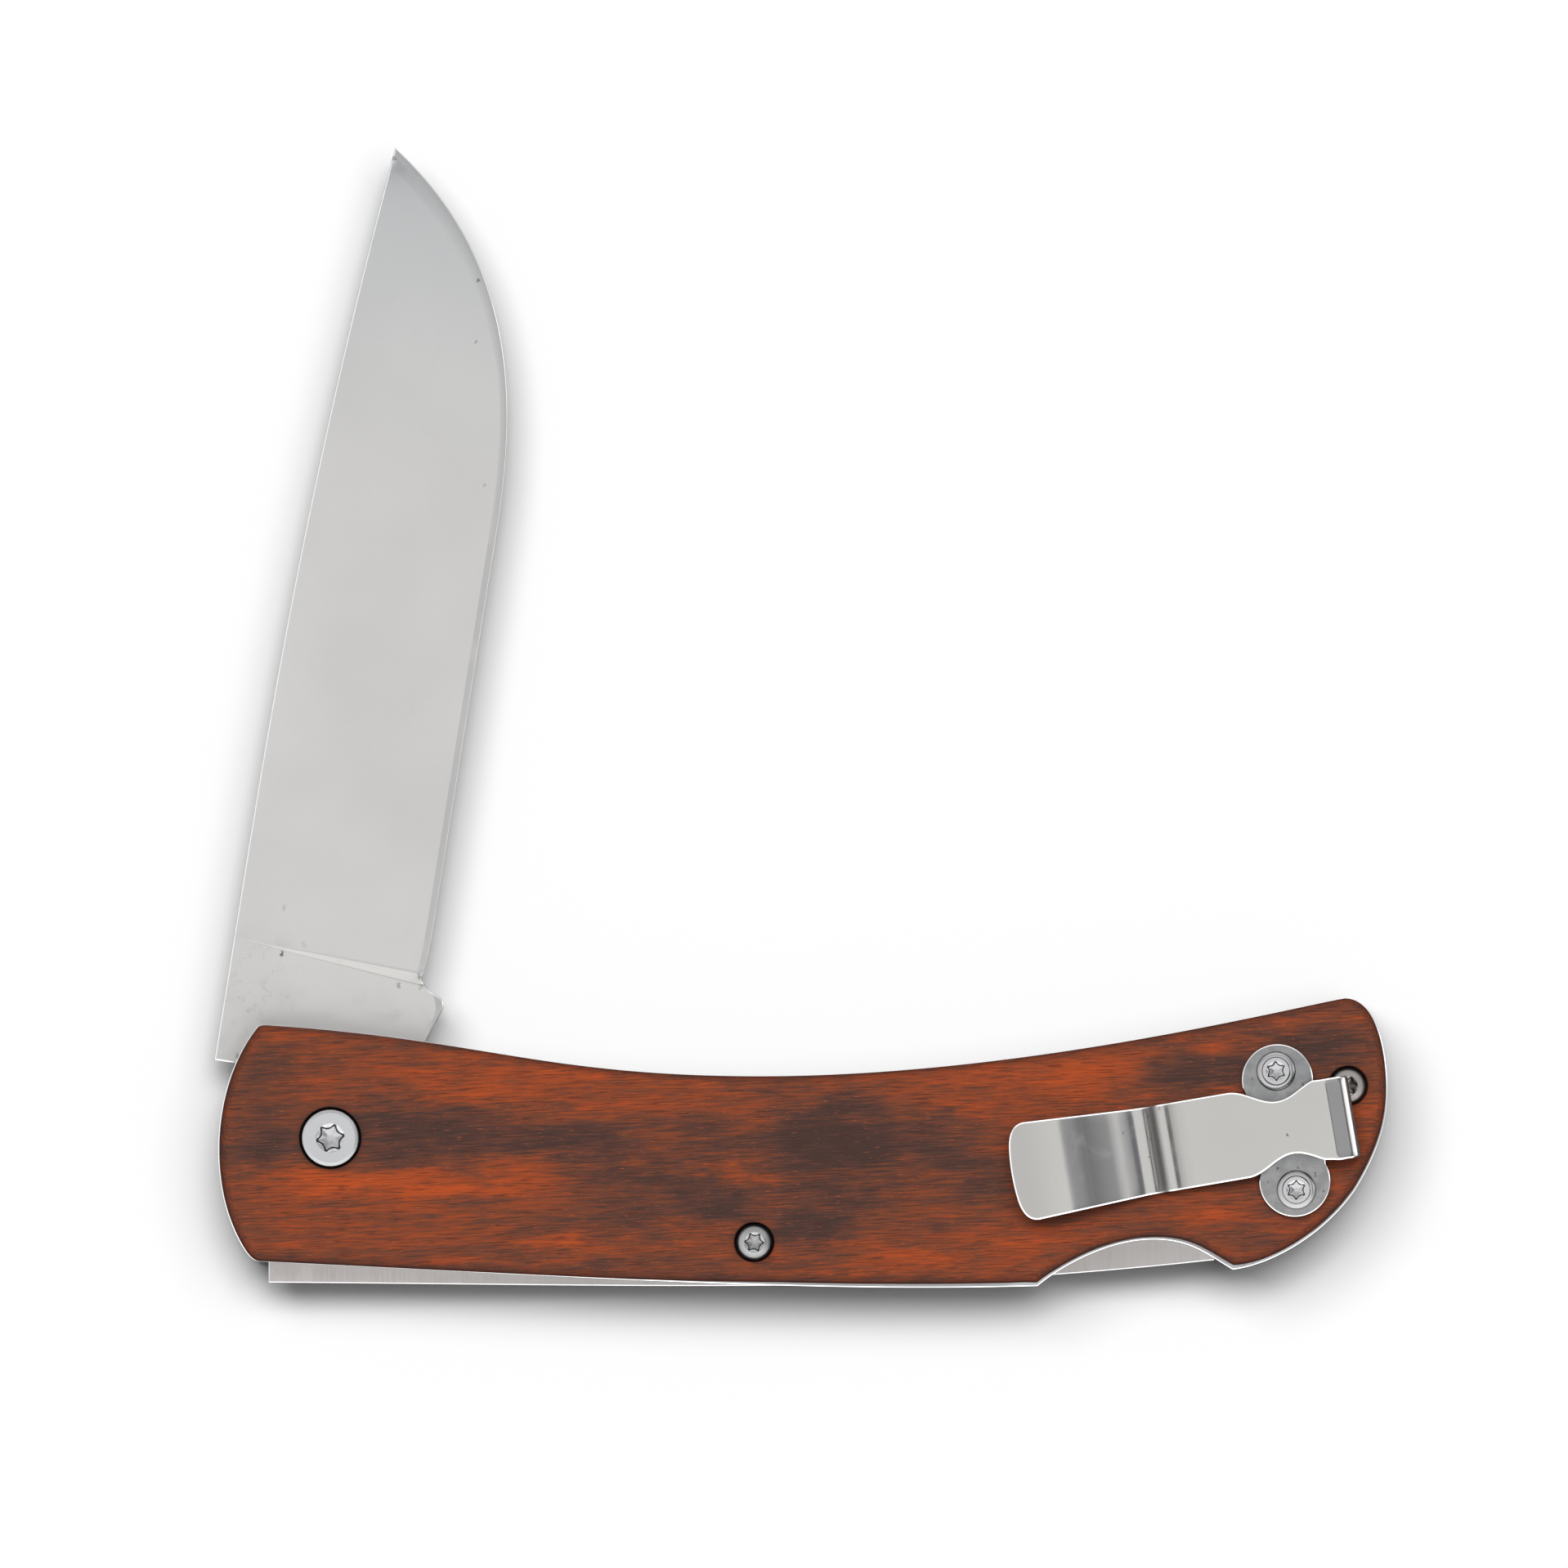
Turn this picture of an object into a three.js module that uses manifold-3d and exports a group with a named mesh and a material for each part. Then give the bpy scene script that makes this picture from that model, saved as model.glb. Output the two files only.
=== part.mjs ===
// Folding lockback pocket knife, in millimetres, +Z up.
// It lies on its back scale with the blade part open. The origin is on the blade's pivot axis,
// in the plane of the back scale's outer face. +X runs along the handle to the butt, +Y is the
// side that the blade opens from, and the pocket clip is on top.

import * as THREE from 'three';
import { mergeVertices } from 'three/addons/utils/BufferGeometryUtils.js';
import Module from 'manifold-3d';

const wasm = await Module();
wasm.setup();

const degrees = Math.PI / 180;

// Stack of plates, counted up from the back scale
const scaleThickness = 3.5;
const linerThickness = 1.0;
const bladeThickness = 3.0;
const washerThickness = 0.25;
const clipThickness = 1.0;

// Handle outline, measured from the pivot axis
const frontReach = 10.95;
const shoulderRise = 11.07;
const shoulderSetback = 4.63;
const waistPlace = 42.08;
const waistRise = 6.06;
const buttRise = 13.68;
const buttMargin = 6.77;
const spineBelow = 0.34;
const spineSwell = 2.04;
const spineTaper = 1.56;
const cornerRadius = 0.5;
const scaleSetback = 0.3;
const scaleEdgeRadius = 1.1;

// Thumb cutout in the handle's back, over the lock bar's rear
const cutoutStart = 68.88;
const cutoutDepth = 4.56;
const cutoutInset = 15.12;

// Blade, in its closed place: point towards the butt, edge down
const bladeReach = 96.67;
const bladeBack = 12.42;
const bladeDrop = 6.7;
const tipRise = 9.05;
const heelPlace = 17.0;
const plungeLength = 1.5;
const grindShoulder = 0.65;
const shoulderThickness = 0.7;
const edgeThickness = 0.12;
const kickPlace = 14.5;
const kickDrop = 8.9;
const tangRadius = 8.3;
const spineStraight = 25.7;
const tipLength = 60;
const bladeOpening = 80.9 * degrees;
const bladeTravel = 177.3 * degrees;

// Lock bar: lug in the tang's notch when the blade is full open, rocks on the lock pin
const lugFront = 5.6;
const lugRear = 1.6;
const lugDepth = 6.7;
const lockPinPlace = 41.48;
const bossRadius = 2.95;
const barHeight = 4.3;
const barProud = 0.12;
const barRaise = 2.3 * degrees;

// Leaf spring and spacer at the butt
const leafThickness = 1.2;
const leafTipPlace = 60.5;
const leafRootDrop = 5.3;
const leafRootLength = 6.5;
const spacerWall = 1.2;
const spacerLip = 1.5;
const dowelRadius = 1.0;

// Round pieces
const pivotHeadRadius = 2.84;
const pivotHeadHeight = 1.3;
const pivotBarrelRadius = 2.4;
const pivotScrewRadius = 1.5;
const pivotStarRadius = 1.43;
const washerRadius = 6.1;
const smallHeadRadius = 1.76;
const smallHeadHeight = 1.1;
const smallStarRadius = 0.88;
const smallBarrelRadius = 1.4;
const smallShankRadius = 0.85;
const smallShankLength = 3.4;
const backHeadHeight = 1.0;
const clipHeadRadius = 1.93;
const clipHeadHeight = 0.9;
const clipStarRadius = 0.95;
const rearBarrelInset = 3.86;
const rearBarrelRise = 5.1;

// Pocket clip, in its own frame: x runs back to the fold, y across it
const clipAngle = 9.7 * degrees;
const clipLength = 34.0;
const clipHalfWidth = 4.28;
const clipTipFlare = 0.55;
const clipWaist = 1.62;
const waistHalfLength = 4.7;
const foldRadius = 1.9;
const foldHalfWidth = 4.05;
const foldInset = 3.2;
const foldFromButt = 3.2;
const foldRise = 1.88;
const tongueShift = 0.3;
const earRadius = 3.48;
const earOffset = 5.03;
const clipScrewOffset = 5.9;
const clipScrewInset = 6.8;

// Gaps
const runningGap = 0.1;
const seatGap = 0.2;
const touchGap = 0.3;
const edgeGap = 0.55;
const bladePocketGap = 0.8;
const barEndGap = 0.4;

// Cutters start and end past the faces that they cut, and side cutters reach past the handle
const past = 1;
const farSide = 40;

// Facets
const smallSides = 20;
const largeSides = 32;

// Levels that follow from the stack
const channelWidth = bladeThickness + 2 * washerThickness;
const backLinerLow = scaleThickness;
const channelLow = backLinerLow + linerThickness;
const bladeLow = channelLow + washerThickness;
const bladeHigh = bladeLow + bladeThickness;
const channelHigh = channelLow + channelWidth;
const frontLinerHigh = channelHigh + linerThickness;
const frontScaleHigh = frontLinerHigh + scaleThickness;
const bladeMiddle = (bladeLow + bladeHigh) / 2;

// Places that follow from the outlines
const buttReach = bladeReach + buttMargin;
const spineFrontDrop = bladeBack - spineBelow;
const spineRearDrop = spineFrontDrop + spineTaper;
const cutoutEnd = buttReach - cutoutInset;
const spacerFront = cutoutEnd - spacerLip;
const barRear = spacerFront - barEndGap;
const lockPinDrop = bladeDrop + edgeGap + bossRadius;
const rearBarrelPlace = buttReach - rearBarrelInset;
const leafRootPlace = cutoutEnd + 0.4;

// Materials
const steelFinish = { roughness: 0.35, metalness: 1.0 };
const satin = (color) => new THREE.MeshStandardMaterial({ color, ...steelFinish });
const bladeSteel = satin(0xb4b6b8);
const linerSteel = satin(0xc4c5c6);
const barSteel = satin(0xbcbdbe);
const clipSteel = satin(0xc2c2bf);
const screwSteel = satin(0xa9a9a8);
const springSteel = satin(0x8f9294);
const bronze = new THREE.MeshStandardMaterial({ color: 0xb08d4c, roughness: 0.4, metalness: 1.0 });
const wood = new THREE.MeshStandardMaterial({ color: 0x8a4224, roughness: 0.5, metalness: 0.0 });

// Points along lines and curves

const at = (x, y) => new THREE.Vector2(x, y);

function bezier(start, startHandle, endHandle, end, steps) {
  return new THREE.CubicBezierCurve(start, startHandle, endHandle, end).getPoints(steps);
}

function bend(start, corner, end, steps) {
  return new THREE.QuadraticBezierCurve(start, corner, end).getPoints(steps);
}

function arc(centre, radius, startAngle, endAngle, steps) {
  const points = [];
  for (let i = 0; i <= steps; i += 1) {
    const angle = startAngle + (endAngle - startAngle) * i / steps;
    points.push(at(centre.x + radius * Math.cos(angle), centre.y + radius * Math.sin(angle)));
  }
  return points;
}

function outline(...stretches) {
  const points = [];
  for (const point of stretches.flat()) {
    const last = points[points.length - 1];
    if (!last || last.distanceTo(point) > 0.01) points.push(point);
  }
  if (points[0].distanceTo(points[points.length - 1]) < 0.01) points.pop();
  if (THREE.ShapeUtils.area(points) < 0) points.reverse();
  return points;
}

// Where two edges, each a point and a direction, cross
function meet(first, second) {
  const across = first.along.cross(second.along);
  if (Math.abs(across) < 1e-6) return second.origin.clone();
  const reach = second.origin.clone().sub(first.origin).cross(second.along) / across;
  return first.origin.clone().addScaledVector(first.along, reach);
}

// Moves a counter-clockwise outline inwards, or outwards where the distance is negative.
// An edge that shrinks to nothing is dropped, and its two corners then share one place.
function inset(points, distance) {
  const count = points.length;
  const edges = points.map((point, i) => {
    const along = points[(i + 1) % count].clone().sub(point).normalize();
    return { along, origin: at(point.x - along.y * distance, point.y + along.x * distance), kept: true };
  });
  const nearest = (start, step) => {
    let i = (start + count) % count;
    while (!edges[i].kept) i = (i + step + count) % count;
    return edges[i];
  };
  let corners = [];
  let lost = [];
  do {
    corners = points.map((point, i) => meet(nearest(i - 1, -1), nearest(i, 1)));
    lost = edges.filter((edge, i) => (
      edge.kept && corners[(i + 1) % count].clone().sub(corners[i]).dot(edge.along) <= 1e-3
    ));
    lost.forEach((edge) => { edge.kept = false; });
  } while (lost.length > 0);
  return corners;
}

function turned(point, angle, centre = at(0, 0)) {
  return point.clone().rotateAround(centre, angle);
}

// Height of a left-to-right run of points at one x
function heightAt(points, x) {
  for (let i = 1; i < points.length; i += 1) {
    const [a, b] = [points[i - 1], points[i]];
    if ((a.x - x) * (b.x - x) <= 0 && a.x !== b.x) return a.y + (b.y - a.y) * (x - a.x) / (b.x - a.x);
  }
  return points[points.length - 1].y;
}

function box(left, right, low, high) {
  return [at(left, low), at(right, low), at(right, high), at(left, high)];
}

// Closed solids

function signedVolume(geometry) {
  const position = geometry.attributes.position;
  const index = geometry.index.array;
  const [a, b, c] = [new THREE.Vector3(), new THREE.Vector3(), new THREE.Vector3()];
  let sum = 0;
  for (let i = 0; i < index.length; i += 3) {
    a.fromBufferAttribute(position, index[i]);
    b.fromBufferAttribute(position, index[i + 1]);
    c.fromBufferAttribute(position, index[i + 2]);
    sum += a.dot(b.cross(c)) / 6;
  }
  return sum;
}

function solid(geometry) {
  geometry.deleteAttribute('normal');
  geometry.deleteAttribute('uv');
  const merged = mergeVertices(geometry, 1e-4);
  const corners = merged.index.array;
  const faces = [];
  for (let i = 0; i < corners.length; i += 3) {
    const [a, b, c] = corners.slice(i, i + 3);
    if (a !== b && b !== c && c !== a) faces.push([a, b, c]);
  }
  merged.setIndex(faces.flat());
  if (signedVolume(merged) < 0) faces.forEach((face) => face.reverse());
  return new wasm.Manifold(new wasm.Mesh({
    numProp: 3,
    vertProperties: new Float32Array(merged.attributes.position.array),
    triVerts: new Uint32Array(faces.flat()),
  }));
}

function plate(points, low, high) {
  const depth = high - low;
  const geometry = new THREE.ExtrudeGeometry(new THREE.Shape(points), { depth, bevelEnabled: false });
  geometry.translate(0, 0, low);
  return solid(geometry);
}

function disc(centre, radius, low, high, sides = smallSides) {
  const geometry = new THREE.CylinderGeometry(radius, radius, high - low, sides);
  geometry.rotateX(Math.PI / 2);
  geometry.translate(centre.x, centre.y, (low + high) / 2);
  return solid(geometry);
}

// Solid of revolution about Z from [radius, height] pairs
function lathe(profile, sides) {
  const geometry = new THREE.LatheGeometry(profile.map(([radius, height]) => at(radius, height)), sides);
  geometry.rotateX(Math.PI / 2);
  return solid(geometry);
}

// Skin over rings of equal length, closed by a flat cap at each end
function loft(rings, flatten) {
  const count = rings[0].length;
  const positions = rings.flat().flatMap((point) => [point.x, point.y, point.z]);
  const index = [];
  for (let ring = 0; ring + 1 < rings.length; ring += 1) {
    for (let i = 0; i < count; i += 1) {
      const a = ring * count + i;
      const b = ring * count + (i + 1) % count;
      index.push(a, b, b + count, a, b + count, a + count);
    }
  }
  const cap = (ring) => {
    const flat = rings[ring].map(flatten);
    const apart = flat.map((point, i) => i).filter((i) => flat[i].distanceTo(flat[(i + 1) % count]) > 1e-3);
    const loop = apart.map((i) => flat[i]);
    const faces = THREE.ShapeUtils.triangulateShape(loop, []);
    const ccw = THREE.ShapeUtils.area(loop) > 0;
    return faces.map((face) => {
      const corners = face.map((i) => apart[i] + ring * count);
      return ccw ? corners : corners.reverse();
    });
  };
  const first = cap(0).map((face) => face.reverse());
  const last = cap(rings.length - 1);
  index.push(...first.flat(), ...last.flat());
  const geometry = new THREE.BufferGeometry();
  geometry.setAttribute('position', new THREE.Float32BufferAttribute(positions, 3));
  geometry.setIndex(index);
  return solid(geometry);
}

// Plate with one rounded edge, on the side away from the liners
function roundedPlate(points, flatSide, outside, radius) {
  const direction = Math.sign(outside - flatSide);
  const level = (ring, height) => ring.map((point) => new THREE.Vector3(point.x, point.y, height));
  const rings = [level(points, flatSide)];
  for (const angle of [0, 30, 60, 90]) {
    const rise = radius * Math.sin(angle * degrees);
    const draw = radius * (1 - Math.cos(angle * degrees));
    rings.push(level(inset(points, draw), outside - direction * (radius - rise)));
  }
  return loft(rings, (point) => at(point.x, point.y));
}

function cut(body, ...cutters) {
  return cutters.reduce((left, cutter) => left.subtract(cutter), body);
}

function join(...solids) {
  return solids.reduce((sum, piece) => sum.add(piece));
}

function mesh(name, body, material) {
  const { vertProperties, triVerts } = body.getMesh();
  const geometry = new THREE.BufferGeometry();
  geometry.setAttribute('position', new THREE.BufferAttribute(vertProperties, 3));
  geometry.setIndex(new THREE.BufferAttribute(triVerts, 1));
  geometry.computeVertexNormals();
  const piece = new THREE.Mesh(geometry, material);
  piece.name = name;
  return piece;
}

// Handle outline

const spine = bezier(
  at(4.05 - frontReach, -spineFrontDrop),
  at(35.68, -spineFrontDrop - spineSwell),
  at(55.5, -spineRearDrop - spineSwell - 0.1),
  at(cutoutEnd - 2.08, -spineRearDrop),
  40,
);
const cutoutTop = -heightAt(spine, cutoutStart) - cutoutDepth;
const cutoutEndDrop = spineRearDrop - 0.76;

function handleOutline() {
  const frontTop = at(3.81 - frontReach, shoulderRise - 0.19);
  const frontLow = at(2.37 - frontReach, 1.44 - spineFrontDrop);
  const front = bezier(
    frontTop,
    at(-frontReach - 0.49, 5.65),
    at(-frontReach - 1.45, -4.25),
    frontLow,
    10,
  );
  const frontCorner = bezier(
    frontLow,
    at(2.85 - frontReach, 0.63 - spineFrontDrop),
    at(3.45 - frontReach, -spineFrontDrop),
    spine[0],
    4,
  );
  const back = spine.filter((point, i) => i % 3 === 0 && point.x < cutoutStart - 1);
  const apex = at(cutoutEnd - 7.84, -cutoutTop);
  const start = at(cutoutStart, heightAt(spine, cutoutStart));
  const end = at(cutoutEnd, -cutoutEndDrop);
  const riseHandles = [at(start.x + 2.96, -cutoutTop - 0.58), at(apex.x - 3.01, apex.y)];
  const fallHandles = [at(apex.x + 3.29, apex.y), at(end.x + 0.05, end.y + 1.94)];
  const cutoutRise = bezier(start, ...riseHandles, apex, 9);
  const cutoutFall = bezier(apex, ...fallHandles, end, 8);
  const buttLow = at(buttReach - 3.12, -5.04);
  const buttFar = at(buttReach, 4.96);
  const buttTop = at(buttReach - 4.16, buttRise);
  const butt = [
    bezier(end, at(end.x + 4.02, end.y + 0.52), at(buttLow.x - 2.93, buttLow.y - 4.28), buttLow, 8),
    bezier(buttLow, at(buttLow.x + 3.03, buttLow.y + 4.95), at(buttFar.x, 3.0), buttFar, 6),
    bezier(buttFar, at(buttFar.x, 6.6), at(buttTop.x + 3.77, buttTop.y + 0.01), buttTop, 8),
  ];
  const waist = at(waistPlace, waistRise);
  const shoulder = at(shoulderSetback - frontReach, shoulderRise);
  const top = [
    bezier(buttTop, at(buttTop.x - 5.45, buttTop.y - 0.92), at(waist.x + 25.62, waist.y), waist, 14),
    bezier(waist, at(waist.x - 21.37, waist.y), at(shoulder.x + 20.92, shoulder.y - 1.31), shoulder, 14),
  ];
  const corner = bend(shoulder, at(shoulder.x - cornerRadius, shoulder.y), frontTop, 2);
  return outline(front, frontCorner, back, cutoutRise, cutoutFall, ...butt, ...top, corner);
}

const handle = handleOutline();
const pivot = at(0, 0);
const lockPin = at(lockPinPlace, -lockPinDrop);
const rearBarrel = at(rearBarrelPlace, rearBarrelRise);
const dowel = at(cutoutEnd + 4.2, -8.9);
const clipOrigin = at(buttReach - foldFromButt, foldRise);
const clipScrews = [1, -1].map((side) => {
  const local = at(-clipScrewInset, side * clipScrewOffset);
  return turned(local, clipAngle).add(clipOrigin);
});

// Levels of the seats that the screw heads lie in
const pivotSeat = frontScaleHigh - pivotHeadHeight - seatGap;
const frontSeat = frontScaleHigh - smallHeadHeight - seatGap;
const backSeat = smallHeadHeight + seatGap;

// Blade, in its closed place

const openAxes = (u, w) => turned(at(u, w), bladeTravel);

function bladeSpineAt(x) {
  if (x <= spineStraight) return bladeBack;
  const share = (x - spineStraight) / (bladeReach - spineStraight);
  return bladeBack - (bladeBack - tipRise - 0.25) * share ** 2.2;
}

function bladeEdge() {
  const bellyStart = at(bladeReach - 39.67, -bladeDrop);
  const tip = at(bladeReach - 0.2, tipRise - 0.3);
  const bellyHandles = [at(bellyStart.x + 10.76, -bladeDrop), at(tip.x - 10.9, -bladeDrop - 0.82)];
  const belly = bezier(bellyStart, ...bellyHandles, tip, 18);
  return [at(heelPlace, -bladeDrop + 0.25), at(heelPlace + 5, -bladeDrop), ...belly];
}

function grindSection(x, edge, grind) {
  const half = bladeThickness / 2;
  const back = bladeSpineAt(x);
  const height = back - edge;
  const taper = Math.min(1, Math.max(0.25, (bladeReach - x) / 40));
  const backHalf = half * (0.35 + 0.65 * Math.min(1, (bladeReach - x) / tipLength + 0.15));
  const shoulder = edge + Math.min(grindShoulder, height * 0.3);
  const shoulderHalf = half + (shoulderThickness / 2 * taper - half) * grind;
  const edgeHalf = half + (edgeThickness / 2 - half) * grind;
  const corners = [[back, half + (backHalf - half) * grind], [shoulder, shoulderHalf], [edge, edgeHalf]];
  const near = corners.map(([y, z]) => new THREE.Vector3(x, y, bladeMiddle + z));
  const far = corners.map(([y, z]) => new THREE.Vector3(x, y, bladeMiddle - z)).reverse();
  return [...near, ...far];
}

function groundBlade() {
  const edge = bladeEdge();
  const rings = [grindSection(heelPlace - 0.6, heightAt(edge, heelPlace), 0)];
  for (const share of [0.1, 0.5, 0.85, 1]) {
    const x = heelPlace + plungeLength * share;
    rings.push(grindSection(x, heightAt(edge, x), share));
  }
  for (const point of edge.filter((each) => each.x > heelPlace + 2)) {
    rings.push(grindSection(point.x, point.y, 1));
  }
  return loft(rings, (point) => at(point.y, point.z));
}

function tangOutline() {
  const notchFront = lugFront + 0.5 * touchGap;
  const notchRear = lugRear - touchGap;
  const notchFloor = lugDepth - touchGap;
  const notchAngle = Math.atan2(Math.sqrt(tangRadius ** 2 - notchRear ** 2), notchRear);
  const kick = at(kickPlace, -kickDrop);
  const under = arc(pivot, tangRadius, notchAngle, 290 * degrees, 22);
  return outline(
    [at(heelPlace, bladeBack), at(notchFront, bladeBack), at(notchFront, notchFloor)],
    [at(notchRear, notchFloor)],
    under,
    [at(kick.x - 2.3, kick.y + 0.75)],
    bend(at(kick.x - 0.7, kick.y + 0.2), at(kick.x + 0.2, kick.y - 0.1), at(kick.x + 0.8, kick.y + 0.6), 4),
    [at(kick.x + 1.6, -bladeDrop - 0.2), at(heelPlace, -bladeDrop + 0.25)],
  );
}

function makeBlade() {
  const tang = plate(tangOutline(), bladeLow, bladeHigh);
  const bore = disc(pivot, pivotBarrelRadius + runningGap, bladeLow - past, bladeHigh + past, largeSides);
  return mesh('blade', cut(join(tang, groundBlade()), bore), bladeSteel);
}

// Lock bar, in its place with the blade locked, where its back is in line with the handle's

function barOutline() {
  const lugBack = openAxes(lugFront, spineFrontDrop);
  const back = spine
    .filter((point, i) => i % 3 === 0 && point.x > lugBack.x + 1 && point.x < barRear - 1)
    .map((point) => at(point.x, point.y - barProud));
  const under = (x) => at(x, heightAt(spine, x) + barHeight);
  const overTang = -tangRadius - touchGap;
  const bossSide = bossRadius + 2.2;
  const bossTop = at(lockPin.x, lockPin.y + bossRadius);
  const endHeight = heightAt(spine, barRear);
  return outline(
    [openAxes(lugFront, lugDepth), at(lugBack.x, lugBack.y - barProud)],
    back,
    [at(barRear, endHeight - barProud), at(barRear, endHeight + barHeight - 0.9)],
    [under(barRear - 1), under(barRear - 8), under(barRear - 16), under(barRear - 24)],
    [under(lockPin.x + bossSide + 4)],
    bend(under(lockPin.x + bossSide), at(bossTop.x + bossRadius, bossTop.y), bossTop, 5),
    bend(bossTop, at(bossTop.x - bossRadius, bossTop.y), under(lockPin.x - bossSide), 5),
    [under(lockPin.x - bossSide - 6), at(kickPlace + 2, -kickDrop - touchGap)],
    [at(kickPlace - 4, overTang - 0.3)],
    [at(1.5, overTang - 0.1), at(-lugRear - 0.2, overTang - 0.1), openAxes(lugRear, lugDepth)],
  );
}

function makeLockBar() {
  const bar = plate(barOutline(), bladeLow, bladeHigh);
  const bore = disc(lockPin, smallBarrelRadius + runningGap, bladeLow - past, bladeHigh + past);
  return mesh('lock_bar', cut(bar, bore).translate(-lockPin.x, -lockPin.y, 0), barSteel);
}

// Leaf spring, its free end on the raised lock bar's rear arm

const barTopAtTip = turned(at(leafTipPlace, heightAt(spine, leafTipPlace) + barHeight), barRaise, lockPin);
const leafTip = at(leafTipPlace, barTopAtTip.y + touchGap + leafThickness / 2);
const leafRoot = at(leafRootPlace, -leafRootDrop);

function leafOutline(extra) {
  const half = leafThickness / 2 + extra;
  const handles = [at(leafTip.x + 11, leafTip.y + 1.2), at(leafRoot.x - 10, leafRoot.y)];
  const middle = bezier(leafTip, ...handles, leafRoot, 12);
  const end = at(leafRoot.x + leafRootLength + extra, leafRoot.y);
  const upper = [...middle, end].map((point) => at(point.x, point.y + half));
  const lower = [...middle, end].map((point) => at(point.x, point.y - half));
  const nose = arc(leafTip, half, -90 * degrees, -270 * degrees, 6);
  return outline(nose, upper, lower.reverse());
}

// Spacer between the liners, cut away for the closed blade and for the spring's root

function bladePocket() {
  const edge = bladeEdge().filter((point) => point.x > heelPlace + 6);
  const reach = at(edge[edge.length - 1].x + 0.3, tipRise);
  const pocket = outline(edge, [reach, at(reach.x, farSide), at(edge[0].x, farSide)]);
  return inset(pocket, -bladePocketGap);
}

function makeSpacer() {
  const [low, high] = [channelLow, channelHigh];
  const buttEnd = plate(box(spacerFront, buttReach + past, -farSide, farSide), low - past, high + past);
  const body = cut(
    plate(handle, low, high).intersect(buttEnd),
    plate(bladePocket(), low - past, high + past),
    plate(leafOutline(seatGap), low - past, high + past),
    disc(rearBarrel, smallBarrelRadius + runningGap, low - past, high + past),
    disc(dowel, dowelRadius + runningGap, low - past, high + past),
    plate(box(0, leafRoot.x - spacerWall, -leafRootDrop, farSide), low - past, high + past),
  );
  return mesh('rear_spacer', body, linerSteel);
}

// Liners and scales

function bolts(extra, low, high) {
  return [
    disc(pivot, pivotBarrelRadius + extra, low, high, largeSides),
    disc(lockPin, smallBarrelRadius + extra, low, high),
    disc(rearBarrel, smallBarrelRadius + extra, low, high),
  ];
}

function makeLiner(name, low, high, extraHoles) {
  const body = cut(
    plate(handle, low, high),
    ...bolts(runningGap, low - past, high + past),
    disc(dowel, dowelRadius + runningGap, low - past, high + past),
    ...extraHoles,
  );
  return mesh(name, body, linerSteel);
}

function makeScale(name, flatSide, outside, seats, extraHoles) {
  const [low, high] = [Math.min(flatSide, outside), Math.max(flatSide, outside)];
  const body = cut(
    roundedPlate(inset(handle, scaleSetback), flatSide, outside, scaleEdgeRadius),
    ...bolts(runningGap, low - past, high + past),
    ...seats,
    ...extraHoles,
  );
  return mesh(name, body, wood);
}

function frontScale() {
  const above = frontScaleHigh + past;
  const seats = [
    disc(pivot, pivotHeadRadius + seatGap, pivotSeat, above, largeSides),
    disc(lockPin, smallHeadRadius + seatGap, frontSeat, above),
    disc(rearBarrel, smallHeadRadius + seatGap, frontSeat, above),
  ];
  const holes = clipScrews.map((centre) => (
    disc(centre, smallShankRadius + seatGap, frontLinerHigh - past, above)
  ));
  return makeScale('front_scale', frontLinerHigh, frontScaleHigh, seats, holes);
}

function backScale() {
  const seats = [
    disc(pivot, pivotHeadRadius + seatGap, -past, backHeadHeight, largeSides),
    disc(lockPin, smallHeadRadius + seatGap, -past, backSeat),
    disc(rearBarrel, smallHeadRadius + seatGap, -past, backSeat),
  ];
  return makeScale('back_scale', backLinerLow, 0, seats, []);
}

// Screws, sleeves and washers

function star(radius, low, high) {
  const points = [];
  for (let i = 0; i < 24; i += 1) {
    const angle = i / 24 * 2 * Math.PI;
    const reach = radius * (0.87 + 0.13 * Math.cos(6 * angle));
    points.push(at(reach * Math.cos(angle), reach * Math.sin(angle)));
  }
  return plate(points, low, high);
}

// Head above z = 0, shank below it
function screw(headRadius, headHeight, shankRadius, shankLength, starRadius) {
  const rim = headHeight * 0.55;
  const crown = headRadius * 0.78;
  const body = lathe([
    [0, -shankLength],
    [shankRadius - 0.2, -shankLength],
    [shankRadius, -shankLength + 0.2],
    [shankRadius, 0],
    [headRadius, 0],
    [headRadius, rim],
    [headRadius - 0.2, rim + 0.1],
    [crown, headHeight - 0.12],
    [crown - 0.15, headHeight],
    [0, headHeight],
  ], smallSides);
  return cut(body, star(starRadius, headHeight * 0.35, headHeight + past));
}

function placed(piece, centre, level, flipped = false) {
  piece.position.set(centre.x, centre.y, level);
  if (flipped) piece.rotation.x = Math.PI;
  return piece;
}

function smallScrew(name, centre, level, flipped) {
  const body = screw(smallHeadRadius, smallHeadHeight, smallShankRadius, smallShankLength, smallStarRadius);
  return placed(mesh(name, body, screwSteel), centre, level, flipped);
}

function clipScrew(name, centre) {
  const length = frontScaleHigh + clipThickness - channelHigh - runningGap;
  const body = screw(clipHeadRadius, clipHeadHeight, smallShankRadius, length, clipStarRadius);
  return placed(mesh(name, body, screwSteel), centre, frontScaleHigh + clipThickness);
}

function pivotScrew() {
  const length = pivotSeat - channelLow;
  const body = screw(pivotHeadRadius, pivotHeadHeight, pivotScrewRadius, length, pivotStarRadius);
  return placed(mesh('pivot_screw', body, screwSteel), pivot, pivotSeat);
}

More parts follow.
